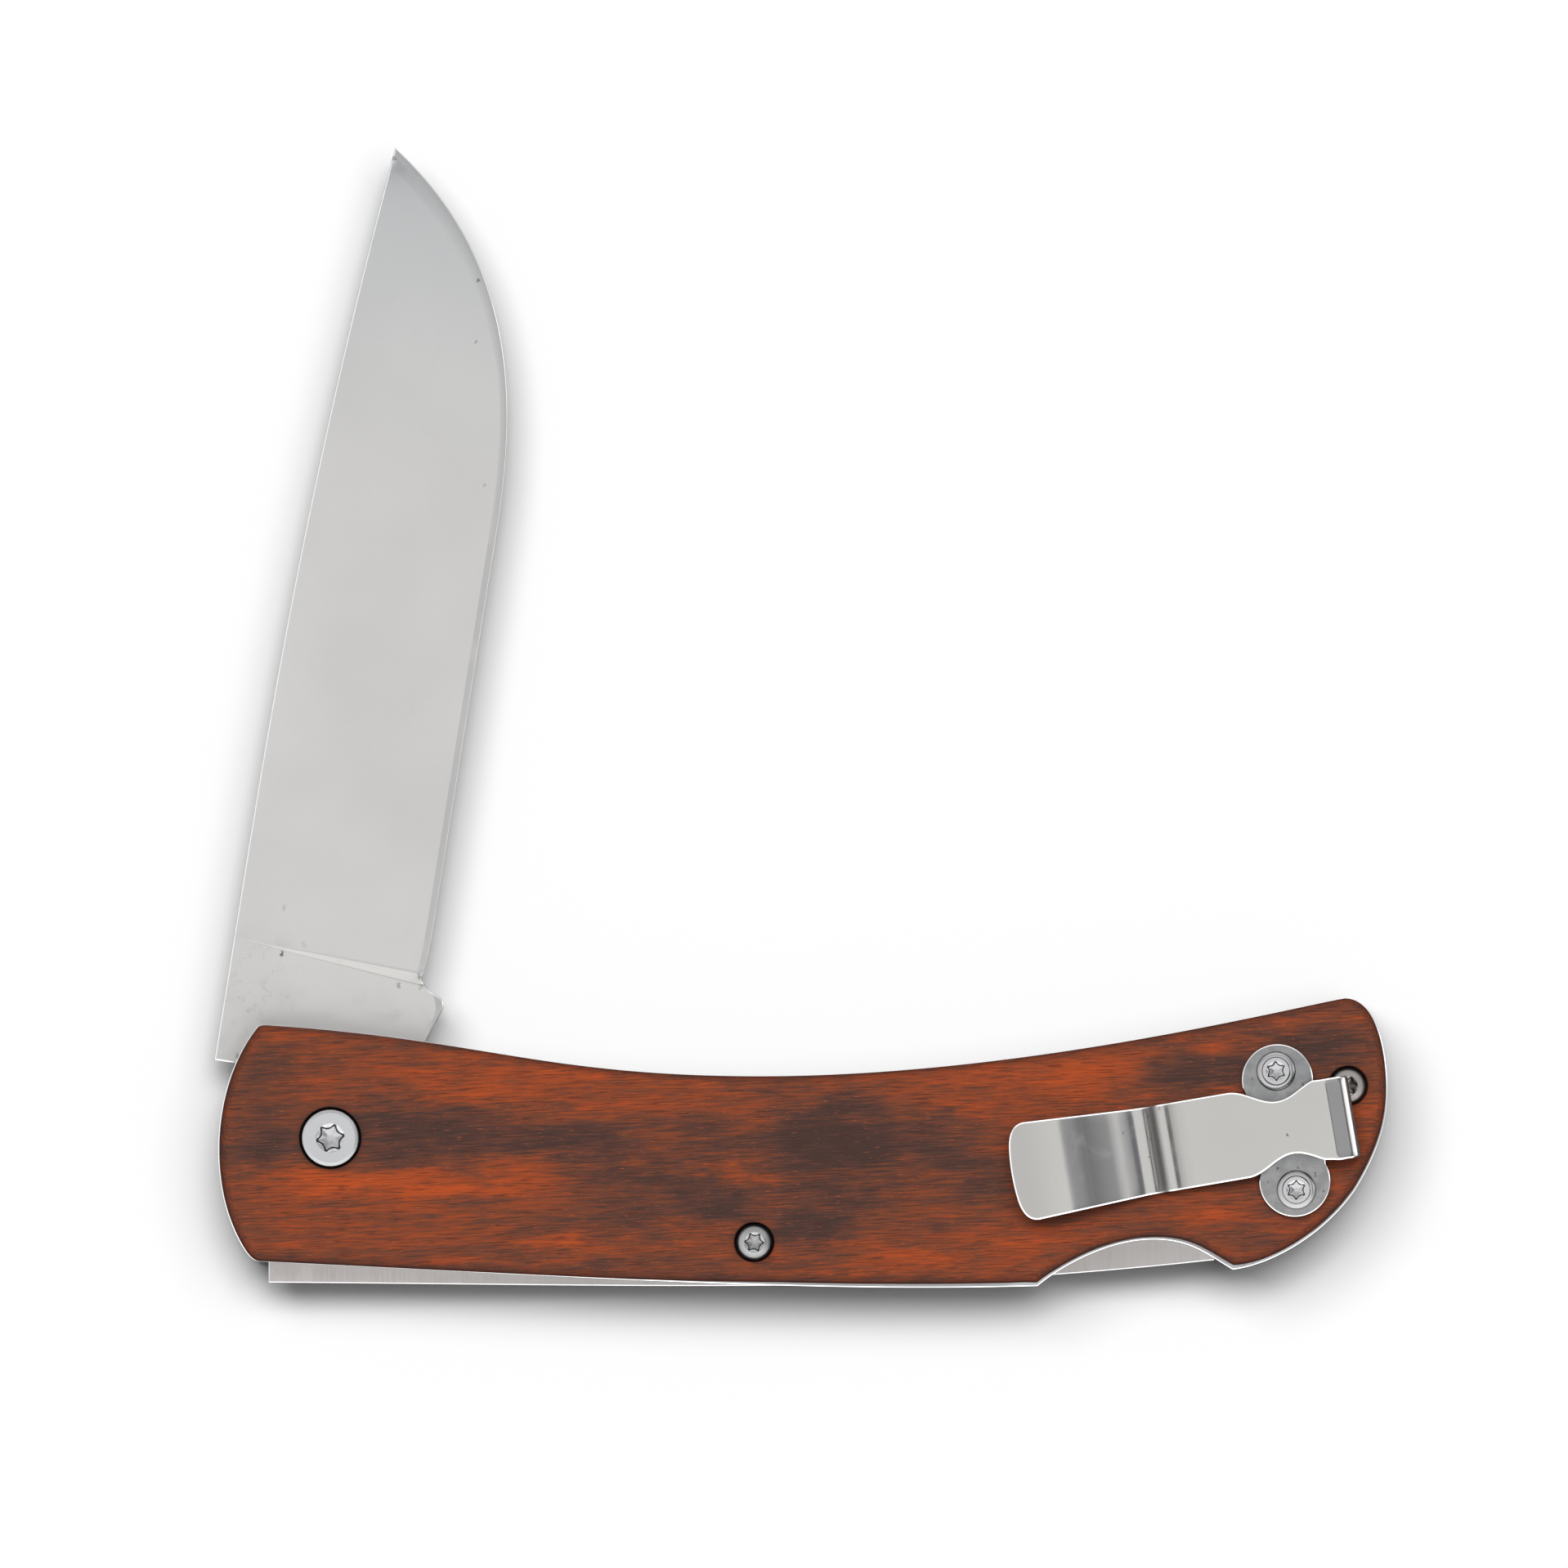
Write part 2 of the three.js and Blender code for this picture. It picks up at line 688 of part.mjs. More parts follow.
function pivotBarrel() {
  const bore = pivotScrewRadius + runningGap;
  const top = pivotSeat - runningGap;
  const body = lathe([
    [0, 0],
    [pivotHeadRadius - 0.25, 0],
    [pivotHeadRadius, 0.25],
    [pivotHeadRadius, backHeadHeight],
    [pivotBarrelRadius, backHeadHeight],
    [pivotBarrelRadius, top],
    [bore, top],
    [bore, channelLow - 0.5],
    [0, channelLow - 0.5],
  ], largeSides);
  return mesh('pivot_barrel', body, screwSteel);
}

function sleeve(name, centre) {
  const bore = smallShankRadius + runningGap;
  const [low, high] = [backSeat + runningGap, frontSeat - runningGap];
  const body = cut(disc(pivot, smallBarrelRadius, low, high), disc(pivot, bore, low - past, high + past));
  return placed(mesh(name, body, screwSteel), centre, 0);
}

function washer(name, low) {
  const hole = disc(pivot, pivotBarrelRadius + runningGap, low - past, low + past, largeSides);
  return mesh(name, cut(disc(pivot, washerRadius, low, low + washerThickness, largeSides), hole), bronze);
}

// Pocket clip, in its own frame with z = 0 on the scale

function tonguePlan() {
  const half = (x) => {
    const flare = clipTipFlare * Math.min(1, Math.max(0, (-x - 21) / (clipLength - 23)));
    const share = Math.abs(x + clipScrewInset - 0.3) / waistHalfLength;
    const dip = share < 1 ? clipWaist * Math.cos(share * Math.PI / 2) ** 2 : 0;
    const base = x > -foldInset ? foldHalfWidth : clipHalfWidth;
    return base + flare - dip;
  };
  const waist = [-2.2, -3.4, -4.3, -5.2, -6.5, -7.8, -8.7, -9.6, -10.5, -11.4];
  const stations = [-0.4, -1.2, ...waist, -21, -26, 2 - clipLength];
  const side = stations.map((x) => at(x, half(x)));
  const tip = clipLength;
  const nose = bend(side[side.length - 1], at(0.35 - tip, half(2 - tip) - 0.1), at(0.15 - tip, 2.2), 4);
  const upper = [at(0, foldHalfWidth - 0.5), ...side, ...nose, at(-tip, 0)];
  const lower = upper.map((point) => at(point.x, -point.y)).reverse();
  return outline(upper, lower).map((point) => at(point.x, point.y + tongueShift));
}

// Height of the tongue's middle above the scale, from the fold to the tip
function tongueLine() {
  const half = clipThickness / 2;
  const touch = half + seatGap;
  const folded = 2 * foldRadius - half;
  const flared = touch + 2.4;
  return [
    at(-foldRadius, folded),
    at(-17.6, touch + 0.75),
    at(-18.1, touch + 0.62),
    at(-18.8, touch + 0.68),
    at(-19.2, touch + 0.4),
    at(-19.6, touch),
    at(-20.0, touch + 0.38),
    at(-20.6, touch + 0.68),
    at(-21.7, touch + 0.6),
    at(-23.7, touch + 1.05),
    at(-25.6, touch + 1.6),
    at(-27.2, touch + 2.05),
    at(-28.6, flared - 0.1),
    at(-30.4, flared),
    at(-clipLength - 1, flared + 0.05),
  ];
}

function makeClip() {
  const half = clipThickness / 2;
  const centre = at(-foldRadius, foldRadius);
  const line = tongueLine();
  const outer = arc(centre, foldRadius, -90 * degrees, 90 * degrees, 12);
  const inner = arc(centre, foldRadius - clipThickness, 90 * degrees, -90 * degrees, 8);
  const above = line.slice(1).map((point) => at(point.x, point.y + half));
  const below = line.slice(1).map((point) => at(point.x, point.y - half)).reverse();
  const tab = -clipScrewInset;
  const section = outline([at(tab, 0)], outer, above, below, inner, [at(tab, clipThickness)]);
  const strip = plate(section, -farSide, farSide).rotate(90, 0, 0);
  const plan = plate(tonguePlan(), -past, farSide);
  const ears = [1, -1].map((side) => (
    disc(at(-clipScrewInset, side * earOffset), earRadius, 0, clipThickness, largeSides)
  ));
  const waistHalf = clipHalfWidth - clipWaist;
  const base = plate(outline([
    at(-clipScrewInset - 2.4, -earOffset),
    at(-clipScrewInset, -earOffset),
    at(-clipScrewInset + 2.8, -waistHalf),
    at(-foldRadius, -waistHalf),
    at(-foldRadius, waistHalf),
    at(-clipScrewInset + 2.8, waistHalf),
    at(-clipScrewInset, earOffset),
    at(-clipScrewInset - 2.4, earOffset),
  ]), 0, clipThickness);
  const holes = [1, -1].map((side) => (
    disc(at(-clipScrewInset, side * clipScrewOffset), smallShankRadius + seatGap, -past, clipThickness + past)
  ));
  const body = cut(join(strip.intersect(plan), base, ...ears), ...holes);
  const clip = mesh('pocket_clip', body, clipSteel);
  clip.position.set(clipOrigin.x, clipOrigin.y, frontScaleHigh);
  clip.rotation.z = clipAngle;
  return clip;
}

// Assembly

const bladeTurn = new THREE.Group();
bladeTurn.rotation.z = bladeOpening;
bladeTurn.add(makeBlade());

const lockRocker = new THREE.Group();
lockRocker.position.set(lockPin.x, lockPin.y, 0);
lockRocker.rotation.z = barRaise;
lockRocker.add(makeLockBar());

const tapped = clipScrews.map((centre) => (
  disc(centre, smallShankRadius + runningGap, channelHigh - past, frontLinerHigh + past)
));
const dowelBody = disc(pivot, dowelRadius, backLinerLow, frontLinerHigh);

const knife = new THREE.Group();
knife.add(
  bladeTurn,
  lockRocker,
  frontScale(),
  backScale(),
  makeLiner('front_liner', channelHigh, frontLinerHigh, tapped),
  makeLiner('back_liner', backLinerLow, channelLow, []),
  mesh('lock_spring', plate(leafOutline(0), bladeLow, bladeHigh), springSteel),
  makeSpacer(),
  placed(mesh('spacer_dowel', dowelBody, screwSteel), dowel, 0),
  pivotBarrel(),
  pivotScrew(),
  washer('front_washer', bladeHigh),
  washer('back_washer', channelLow),
  sleeve('lock_pin', lockPin),
  smallScrew('lock_pin_front_screw', lockPin, frontSeat),
  smallScrew('lock_pin_back_screw', lockPin, backSeat, true),
  sleeve('rear_barrel', rearBarrel),
  smallScrew('rear_front_screw', rearBarrel, frontSeat),
  smallScrew('rear_back_screw', rearBarrel, backSeat, true),
  makeClip(),
  clipScrew('upper_clip_screw', clipScrews[0]),
  clipScrew('lower_clip_screw', clipScrews[1]),
);

export default knife;
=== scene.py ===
"""Folding lockback pocket knife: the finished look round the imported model.

Sizes are in millimetres until a mesh is built. They are those of the part's source, but for finer
edges and a closer line round the thumb cutout.
"""

import math

import bmesh
import bpy
import numpy as np
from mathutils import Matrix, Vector, geometry


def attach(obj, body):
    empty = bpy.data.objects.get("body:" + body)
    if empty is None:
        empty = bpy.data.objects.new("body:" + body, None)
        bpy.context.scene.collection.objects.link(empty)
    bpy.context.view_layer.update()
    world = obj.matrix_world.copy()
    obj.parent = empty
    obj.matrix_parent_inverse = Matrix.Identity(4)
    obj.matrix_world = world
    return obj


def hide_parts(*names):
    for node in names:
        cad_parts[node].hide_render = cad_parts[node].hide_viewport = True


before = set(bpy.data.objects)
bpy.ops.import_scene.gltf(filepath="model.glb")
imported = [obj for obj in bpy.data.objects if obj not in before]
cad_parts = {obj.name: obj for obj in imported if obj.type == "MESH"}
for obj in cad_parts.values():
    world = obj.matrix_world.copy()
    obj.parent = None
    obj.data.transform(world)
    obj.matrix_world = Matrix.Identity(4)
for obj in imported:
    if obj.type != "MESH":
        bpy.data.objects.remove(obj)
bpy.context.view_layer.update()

MM = 0.001

# Stack of plates, counted up from the back scale's outer face
SCALE_THICKNESS = 3.5
LINER_THICKNESS = 1.0
BLADE_THICKNESS = 3.0
WASHER_THICKNESS = 0.25
CLIP_THICKNESS = 1.0
BACK_LINER_LOW = SCALE_THICKNESS
CHANNEL_LOW = BACK_LINER_LOW + LINER_THICKNESS
BLADE_LOW = CHANNEL_LOW + WASHER_THICKNESS
BLADE_HIGH = BLADE_LOW + BLADE_THICKNESS
CHANNEL_HIGH = BLADE_HIGH + WASHER_THICKNESS
FRONT_SCALE_LOW = CHANNEL_HIGH + LINER_THICKNESS
FRONT_SCALE_HIGH = FRONT_SCALE_LOW + SCALE_THICKNESS
BLADE_MIDDLE = (BLADE_LOW + BLADE_HIGH) / 2

# Handle
FRONT_REACH = 10.95
SHOULDER_RISE = 11.07
SHOULDER_SETBACK = 4.63
WAIST_PLACE = 42.08
WAIST_RISE = 6.06
BUTT_RISE = 13.68
BUTT_REACH = 103.44
SPINE_DROP = 12.08
SPINE_SWELL = 2.04
SPINE_REAR_DROP = SPINE_DROP + 1.56
CORNER_RADIUS = 0.5
CUTOUT_START = 69.2
CUTOUT_DEPTH = 4.56
CUTOUT_END = BUTT_REACH - 15.12
SCALE_SETBACK = 0.3
SCALE_EDGE = 0.85
FLAT_EDGE = 0.03

# Blade
BLADE_OPENING = math.radians(80.9)
BLADE_TRAVEL = math.radians(177.3)
BLADE_REACH = 96.67
BLADE_BACK = 12.42
BLADE_DROP = 6.7
TIP_RISE = 9.05
SPINE_STRAIGHT = 25.7
TANG_RADIUS = 8.3

# Lock bar, spring and spacer
LUG_FRONT = 5.6
LUG_REAR = 1.6
LUG_DEPTH = 6.7
LOCK_PIN = (41.48, -10.2)
BOSS_RADIUS = 2.95
BAR_HEIGHT = 4.3
BAR_PROUD = 0.12
BAR_RAISE = math.radians(2.3)
SPACER_FRONT = CUTOUT_END - 1.5
SPACER_WALL = 1.2
BAR_REAR = SPACER_FRONT - 0.4
LEAF_THICKNESS = 1.2
LEAF_TIP_PLACE = 60.5
LEAF_ROOT = (CUTOUT_END + 0.4, -5.3)
LEAF_ROOT_LENGTH = 6.5

# Gaps
RUNNING_GAP = 0.1
SEAT_GAP = 0.2
TOUCH_GAP = 0.3
POCKET_GAP = 0.8

# Screws, sleeves and washers
PIVOT = (0.0, 0.0)
REAR_BARREL = (BUTT_REACH - 3.86, 5.1)
DOWEL = (CUTOUT_END + 4.2, -8.9)
PIVOT_HEAD = 2.84
PIVOT_HEAD_HEIGHT = 1.3
PIVOT_SEAT = FRONT_SCALE_HIGH - PIVOT_HEAD_HEIGHT - SEAT_GAP
PIVOT_SHANK = 1.5
PLAIN_HEAD_HEIGHT = 1.0
PIVOT_BARREL = 2.4
SMALL_HEAD = 1.76
SMALL_HEAD_HEIGHT = 1.1
FRONT_SEAT = FRONT_SCALE_HIGH - SMALL_HEAD_HEIGHT - SEAT_GAP
BACK_SEAT = SMALL_HEAD_HEIGHT + SEAT_GAP
SMALL_SHANK = 0.85
SMALL_SHANK_LENGTH = 3.4
SLEEVE = 1.4
SLEEVE_LOW = 1.4
SLEEVE_LENGTH = 9.7
WASHER_RADIUS = 6.1
PIVOT_BORE = PIVOT_BARREL + RUNNING_GAP
SLEEVE_BORE = SLEEVE + RUNNING_GAP
DOWEL_BORE = 1.0 + RUNNING_GAP

# Clip, in its own frame: x runs back to the fold, y across it
CLIP_ANGLE = math.radians(9.7)
CLIP_ORIGIN = (BUTT_REACH - 3.2, 1.88)
CLIP_LENGTH = 34.0
CLIP_HALF_WIDTH = 4.28
CLIP_SCREW_INSET = 6.8
CLIP_SCREW_OFFSET = 5.9
EAR_OFFSET = 5.03
EAR_RADIUS = 3.48
FOLD_RADIUS = 1.9
FOLD_HALF_WIDTH = 4.05
FACET_START = 2.32
WAIST_SHIFT = 0.7
TONGUE_SHIFT = 0.3

# Fineness of the meshes
LOOP_STEP = 0.45
LEAST_STEP = 0.02


# Lines and curves, as arrays of points

def line(*points):
    return np.array(points, float)


def bezier(start, start_handle, end_handle, end, steps):
    t = np.linspace(0, 1, steps + 1)[:, None]
    a, b, c, d = (np.array(p, float) for p in (start, start_handle, end_handle, end))
    return a * (1 - t) ** 3 + 3 * b * t * (1 - t) ** 2 + 3 * c * t ** 2 * (1 - t) + d * t ** 3


def bend(start, corner, end, steps):
    t = np.linspace(0, 1, steps + 1)[:, None]
    a, b, c = (np.array(p, float) for p in (start, corner, end))
    return a * (1 - t) ** 2 + 2 * b * t * (1 - t) + c * t ** 2


def arc(centre, radius, start, end, steps):
    angles = np.radians(np.linspace(start, end, steps + 1))
    return np.column_stack((centre[0] + radius * np.cos(angles), centre[1] + radius * np.sin(angles)))


def circle(centre, radius, count):
    return arc(centre, radius, 0, 360, count)[:-1]


def turned(points, angle, centre=(0.0, 0.0)):
    c, s = math.cos(angle), math.sin(angle)
    x, y = (np.atleast_2d(points) - centre).T
    return np.column_stack((x * c - y * s, x * s + y * c)) + centre


def area(points):
    after = np.roll(points, -1, axis=0)
    return 0.5 * np.sum(points[:, 0] * after[:, 1] - points[:, 1] * after[:, 0])


def outline(*stretches, step=LOOP_STEP):
    """One counter-clockwise loop through the stretches, with no edge longer than the step."""
    corners = np.vstack([np.atleast_2d(part) for part in stretches])
    apart = np.linalg.norm(corners - np.roll(corners, 1, axis=0), axis=1) > LEAST_STEP
    corners = corners[apart]
    if area(corners) < 0:
        corners = corners[::-1]
    points = []
    for a, b in zip(corners, np.roll(corners, -1, axis=0)):
        count = max(1, math.ceil(np.linalg.norm(b - a) / step))
        points.extend(a + (b - a) * k / count for k in range(count))
    return np.array(points)


def nearest(points, path):
    """Each point's nearest place on an open path, and how far that is."""
    start, run = path[:-1], path[1:] - path[:-1]
    length = np.maximum((run ** 2).sum(axis=1), 1e-12)
    places = np.empty((len(points), 2))
    for first in range(0, len(points), 400):
        part = points[first:first + 400]
        offset = part[:, None, :] - start[None]
        share = np.clip((offset * run[None]).sum(axis=2) / length, 0, 1)
        found = start[None] + share[..., None] * run[None]
        best = np.linalg.norm(part[:, None, :] - found, axis=2).argmin(axis=1)
        places[first:first + 400] = found[np.arange(len(part)), best]
    return places, np.linalg.norm(points - places, axis=1)


def closed(loop):
    return np.vstack((loop, loop[:1]))


def inset(loop, distance):
    """The loop moved inwards. Points that a tight corner swallows share one place."""
    distance = np.array(np.broadcast_to(np.asarray(distance, float), len(loop)))
    if not np.any(distance):
        return loop.copy()
    run = np.roll(loop, -1, axis=0) - loop
    run /= np.linalg.norm(run, axis=1)[:, None]
    normal = np.column_stack((-run[:, 1], run[:, 0]))
    middle = normal + np.roll(normal, 1, axis=0)
    middle /= np.maximum(np.linalg.norm(middle, axis=1), 1e-6)[:, None]
    reach = np.maximum((middle * normal).sum(axis=1), 0.35)
    moved = loop + middle * (distance / reach)[:, None]
    clear = nearest(moved, closed(loop))[1] > np.abs(distance) * 0.98 - 0.004
    clear &= inside(moved, [loop]) | (distance < 0.001)
    kept = np.flatnonzero(clear)
    if len(kept) == len(loop) or len(kept) < 8:
        return moved
    for first, last in zip(kept, np.roll(kept, -1)):
        count = (last - first) % len(loop)
        if count > 1:
            lost = (first + np.arange(1, count)) % len(loop)
            wanted = distance[lost].max()
            corner = (moved[first] + moved[last])[None] / 2
            for turn in range(12):
                place, away = nearest(corner, closed(loop))
                way = (corner - place) / np.maximum(away, 1e-9)[:, None]
                corner = np.where(away[:, None] < wanted, place + way * wanted, corner)
            moved[lost] = corner
    return moved


def inside(points, loops):
    """True for each point within an odd number of loops."""
    odd = np.zeros(len(points), bool)
    for loop in loops:
        after = np.roll(loop, -1, axis=0)
        for (ax, ay), (bx, by) in zip(loop, after):
            crosses = (ay > points[:, 1]) != (by > points[:, 1])
            with np.errstate(divide="ignore", invalid="ignore"):
                place = ax + (bx - ax) * (points[:, 1] - ay) / (by - ay)
            odd ^= crosses & (points[:, 0] < place)
    return odd


def height_at(points, x):
    order = np.argsort(points[:, 0])
    return float(np.interp(x, points[order, 0], points[order, 1]))


def rounded(low, high, low_radius, high_radius, steps=5):
    """A wall's section from bottom to top, as (inset, height, share of edge)."""
    section = []
    for angle in np.linspace(0, math.pi / 2, steps + 1):
        out, up = math.sin(angle), 1 - math.cos(angle)
        section.append((low_radius * (1 - out), low + low_radius * up, out))
    for angle in np.linspace(math.pi / 2, 0, steps + 1):
        out, down = math.sin(angle), 1 - math.cos(angle)
        section.append((high_radius * (1 - out), high - high_radius * down, out))
    return section


# A chamfer from the wall to the face, as shares of its width and of its depth, and the share of edge
CHAMFER_STEPS = (
    (0, 1.18, 0.4), (0.03, 0.97, 1), (0.14, 0.84, 1), (0.5, 0.48, 1),
    (0.84, 0.14, 1), (0.97, 0.03, 1), (1.15, 0, 0),
)
CHAMFER_SLOPE = 0.8


def chamfered(low, high, low_width, high_width):
    """As rounded, with a polished chamfer that is softened at both of its corners."""
    low_depth, high_depth = low_width * CHAMFER_SLOPE, high_width * CHAMFER_SLOPE
    section = [(low_width * a, low + low_depth * b, mark) for a, b, mark in CHAMFER_STEPS[::-1]]
    return section + [(high_width * a, high - high_depth * b, mark) for a, b, mark in CHAMFER_STEPS]


def bored(radius, low, high, ease=0.08):
    """A plain hole's section, as (radius, height)."""
    return [(radius + ease, low), (radius, low + ease), (radius, high - ease), (radius + ease, high)]


# Closed shells

class Shell:
    """Points, faces and each point's share of edge, gathered ring by ring."""

    def __init__(self):
        self.points = []
        self.edge = []
        self.faces = []

    def ring(self, loop, height, edge=0.0):
        first = len(self.points)
        heights = np.broadcast_to(np.asarray(height, float), len(loop))
        edges = np.broadcast_to(np.asarray(edge, float), len(loop))
        self.points.extend((p[0], p[1], z) for p, z in zip(loop, heights))
        self.edge.extend(edges)
        return np.arange(first, first + len(loop))

    def wall(self, lower, upper):
        for a, b, c, d in zip(lower, np.roll(lower, -1), np.roll(upper, -1), upper):
            self.faces.append((a, b, c, d))

    def cap(self, loops, up, within=None):
        """A flat or curved skin inside the first ring and round the others."""
        joined = np.concatenate(loops)
        flat = [np.array([self.points[i][:2] for i in loop]) for loop in loops]
        ends = np.cumsum([len(loop) for loop in loops])
        bounds = []
        for loop, end in zip(loops, ends):
            start = end - len(loop)
            bounds.extend((start + k, start + (k + 1) % len(loop)) for k in range(len(loop)))
        places = [Vector(p) for part in flat for p in part]
        if within is not None:
            joined = np.concatenate((joined, within))
            places.extend(Vector(self.points[i][:2]) for i in within)
        made = geometry.delaunay_2d_cdt(places, bounds, [], 0, 1e-7)
        corners = np.array([list(p) for p in made[0]])
        faces = np.array([face for face in made[2] if len(face) == 3])
        middles = corners[faces].mean(axis=1)
        source = [joined[origin[0]] if origin else -1 for origin in made[3]]
        for face in faces[inside(middles, flat)]:
            picked = [source[i] for i in face]
            if min(picked) < 0 or len(set(picked)) < 3:
                continue
            a, b, c = (self.points[i] for i in picked)
            ccw = (b[0] - a[0]) * (c[1] - a[1]) - (b[1] - a[1]) * (c[0] - a[0]) > 0
            self.faces.append(tuple(picked if ccw == up else picked[::-1]))

    def build(self, name, material, shape=None, flip=False, sharp=35.0, extra=None):
        """A mesh object at the origin. The shape function moves the points first."""
        points = np.array(self.points)
        if shape:
            points = shape(points)
        mesh = bpy.data.meshes.new(name)
        faces = [[int(i) for i in (face[::-1] if flip else face)] for face in self.faces]
        mesh.from_pydata((points * MM).tolist(), [], faces)
        marks = {"edge": np.array(self.edge, np.float32), **(extra or {})}
        for label, values in marks.items():
            mark = mesh.attributes.new(label, "FLOAT", "POINT")
            mark.data.foreach_set("value", np.array(values, np.float32))
        work = bmesh.new()
        work.from_mesh(mesh)
        bmesh.ops.remove_doubles(work, verts=work.verts, dist=2e-6)
        bmesh.ops.dissolve_degenerate(work, edges=work.edges, dist=1e-6)
        work.to_mesh(mesh)
        work.free()
        mesh.materials.append(material)
        mesh.shade_smooth()
        mesh.set_sharp_from_angle(angle=math.radians(sharp))
        piece = bpy.data.objects.new(name, mesh)
        bpy.context.scene.collection.objects.link(piece)
        weighted = piece.modifiers.new("even_normals", "WEIGHTED_NORMAL")
        weighted.keep_sharp = True
        weighted.weight = 60
        return piece


def plate(loop, section, holes=(), within=None):
    """A plate with the section round its edge. A hole is (centre, [(radius, height, edge), ...]).

    The points within lie inside the outline and carry a finer skin.
    """
    shell = Shell()
    rings = [shell.ring(inset(loop, draw), z, edge) for draw, z, edge in section]
    for lower, upper in zip(rings, rings[1:]):
        shell.wall(lower, upper)
    bottoms, tops = [rings[0]], [rings[-1]]
    for centre, steps in holes:
        count = 48 if len(steps) < 6 else 96
        bores = [shell.ring(circle(centre, radius, count), z, *mark) for radius, z, *mark in steps]
        for lower, upper in zip(bores, bores[1:]):
            shell.wall(upper, lower)
        bottoms.append(bores[0])
        tops.append(bores[-1])
    inner = [None, None]
    if within is not None:
        inner = [shell.ring(within, section[0][1]), shell.ring(within, section[-1][1])]
    shell.cap(bottoms, up=False, within=inner[0])
    shell.cap(tops, up=True, within=inner[1])
    return shell


def keep(piece, body, slot, *nodes):
    """Hangs a finished piece under the body it moves with and hides the imported parts it replaces."""
    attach(piece, body)
    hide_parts(*nodes)
    return piece


# Node trees

class Graph:
    """Short ways to add nodes to one tree."""

    def __init__(self, tree):
        self.tree = tree

    def put(self, socket, value):
        if isinstance(value, bpy.types.NodeSocket):
            self.tree.links.new(value, socket)
        else:
            socket.default_value = value

    def node(self, kind, inputs=None, **settings):
        made = self.tree.nodes.new(kind)
        for key, value in settings.items():
            setattr(made, key, value)
        for key, value in (inputs or {}).items():
            self.put(made.inputs[key], value)
        return made

    def math(self, operation, *values, clamp=False):
        made = self.node("ShaderNodeMath", dict(enumerate(values)), operation=operation, use_clamp=clamp)
        return made.outputs[0]

    def vector(self, operation, *values):
        made = self.node("ShaderNodeVectorMath", operation=operation)
        for key, value in enumerate(values):
            socket = made.inputs["Scale"] if operation == "SCALE" and key == 1 else made.inputs[key]
            self.put(socket, value)
        return made.outputs["Value" if operation in ("LENGTH", "DOT_PRODUCT", "DISTANCE") else "Vector"]

    def span(self, value, low, high, to_low=0.0, to_high=1.0, kind="SMOOTHSTEP"):
        made = self.node("ShaderNodeMapRange", interpolation_type=kind)
        for key, each in enumerate((value, low, high, to_low, to_high)):
            self.put(made.inputs[key], each)
        return made.outputs[0]

    def noise(self, vector, scale, detail=2.0, roughness=0.5, distortion=0.0):
        made = self.node("ShaderNodeTexNoise", {
            "Vector": vector, "Scale": scale, "Detail": detail,
            "Roughness": roughness, "Distortion": distortion,
        })
        return made.outputs[0]

    def mix(self, share, first, second, blend="MIX"):
        made = self.node("ShaderNodeMix", data_type="RGBA", blend_type=blend)
        for key, value in ((0, share), (6, first), (7, second)):
            self.put(made.inputs[key], value)
        return made.outputs[2]

    def ramp(self, value, *stops):
        made = self.node("ShaderNodeValToRGB", {0: value})
        marks = made.color_ramp.elements
        while len(marks) < len(stops):
            marks.new(0.5)
        for mark, (place, colour) in zip(marks, stops):
            mark.position = place
            mark.color = (*colour, 1.0)
        return made.outputs[0]

    def group(self, tree, inputs):
        kind = "GeometryNodeGroup" if self.tree.type == "GEOMETRY" else "ShaderNodeGroup"
        made = self.tree.nodes.new(kind)
        made.node_tree = tree
        for key, value in inputs.items():
            self.put(made.inputs[key], value)
        return made.outputs


def new_group(name, inputs, outputs, kind="ShaderNodeTree"):
    """An empty group with named sockets: (graph, its inputs, its output node)."""
    tree = bpy.data.node_groups.new(name, kind)
    for label, socket, value in inputs:
        made = tree.interface.new_socket(label, in_out="INPUT", socket_type=socket)
        if value is not None:
            made.default_value = value
    for label, socket in outputs:
        tree.interface.new_socket(label, in_out="OUTPUT", socket_type=socket)
    graph = Graph(tree)
    return graph, tree.nodes.new("NodeGroupInput").outputs, tree.nodes.new("NodeGroupOutput")


FLOAT, COLOUR, VECTOR = "NodeSocketFloat", "NodeSocketColor", "NodeSocketVector"


def place_group():
    """Object coordinates in millimetres, turned about Z."""
    g, given, out = new_group("place_in_mm", [("Turn", FLOAT, 0.0)], [("Place", VECTOR)])
    place = g.node("ShaderNodeTexCoord").outputs["Object"]
    in_mm = g.vector("SCALE", place, 1000.0)
    spun = g.node("ShaderNodeVectorRotate", {"Vector": in_mm, "Angle": given["Turn"]}, rotation_type="Z_AXIS")
    g.put(out.inputs["Place"], spun.outputs[0])
    return g.tree


def scratch_group():
    """Fine parallel hairlines that run along the place's X."""
    g, given, out = new_group(
        "hairlines",
        [("Place", VECTOR, None), ("Length", FLOAT, 6.0), ("Width", FLOAT, 0.06)],
        [("Height", FLOAT), ("Mask", FLOAT)],
    )
    along = g.math("DIVIDE", 1.0, given["Length"])
    across = g.math("DIVIDE", 1.0, given["Width"])
    stretch = g.node("ShaderNodeCombineXYZ", {0: along, 1: across, 2: across}).outputs[0]
    drawn = g.vector("MULTIPLY", given["Place"], stretch)
    fine = g.noise(drawn, 1.0, 3.0, 0.65)
    broad = g.noise(drawn, 0.23, 2.0, 0.5)
    both = g.math("ADD", g.math("MULTIPLY", fine, 0.7), g.math("MULTIPLY", broad, 0.3))
    g.put(out.inputs["Height"], both)
    g.put(out.inputs["Mask"], g.span(both, 0.55, 0.72))
    return g.tree


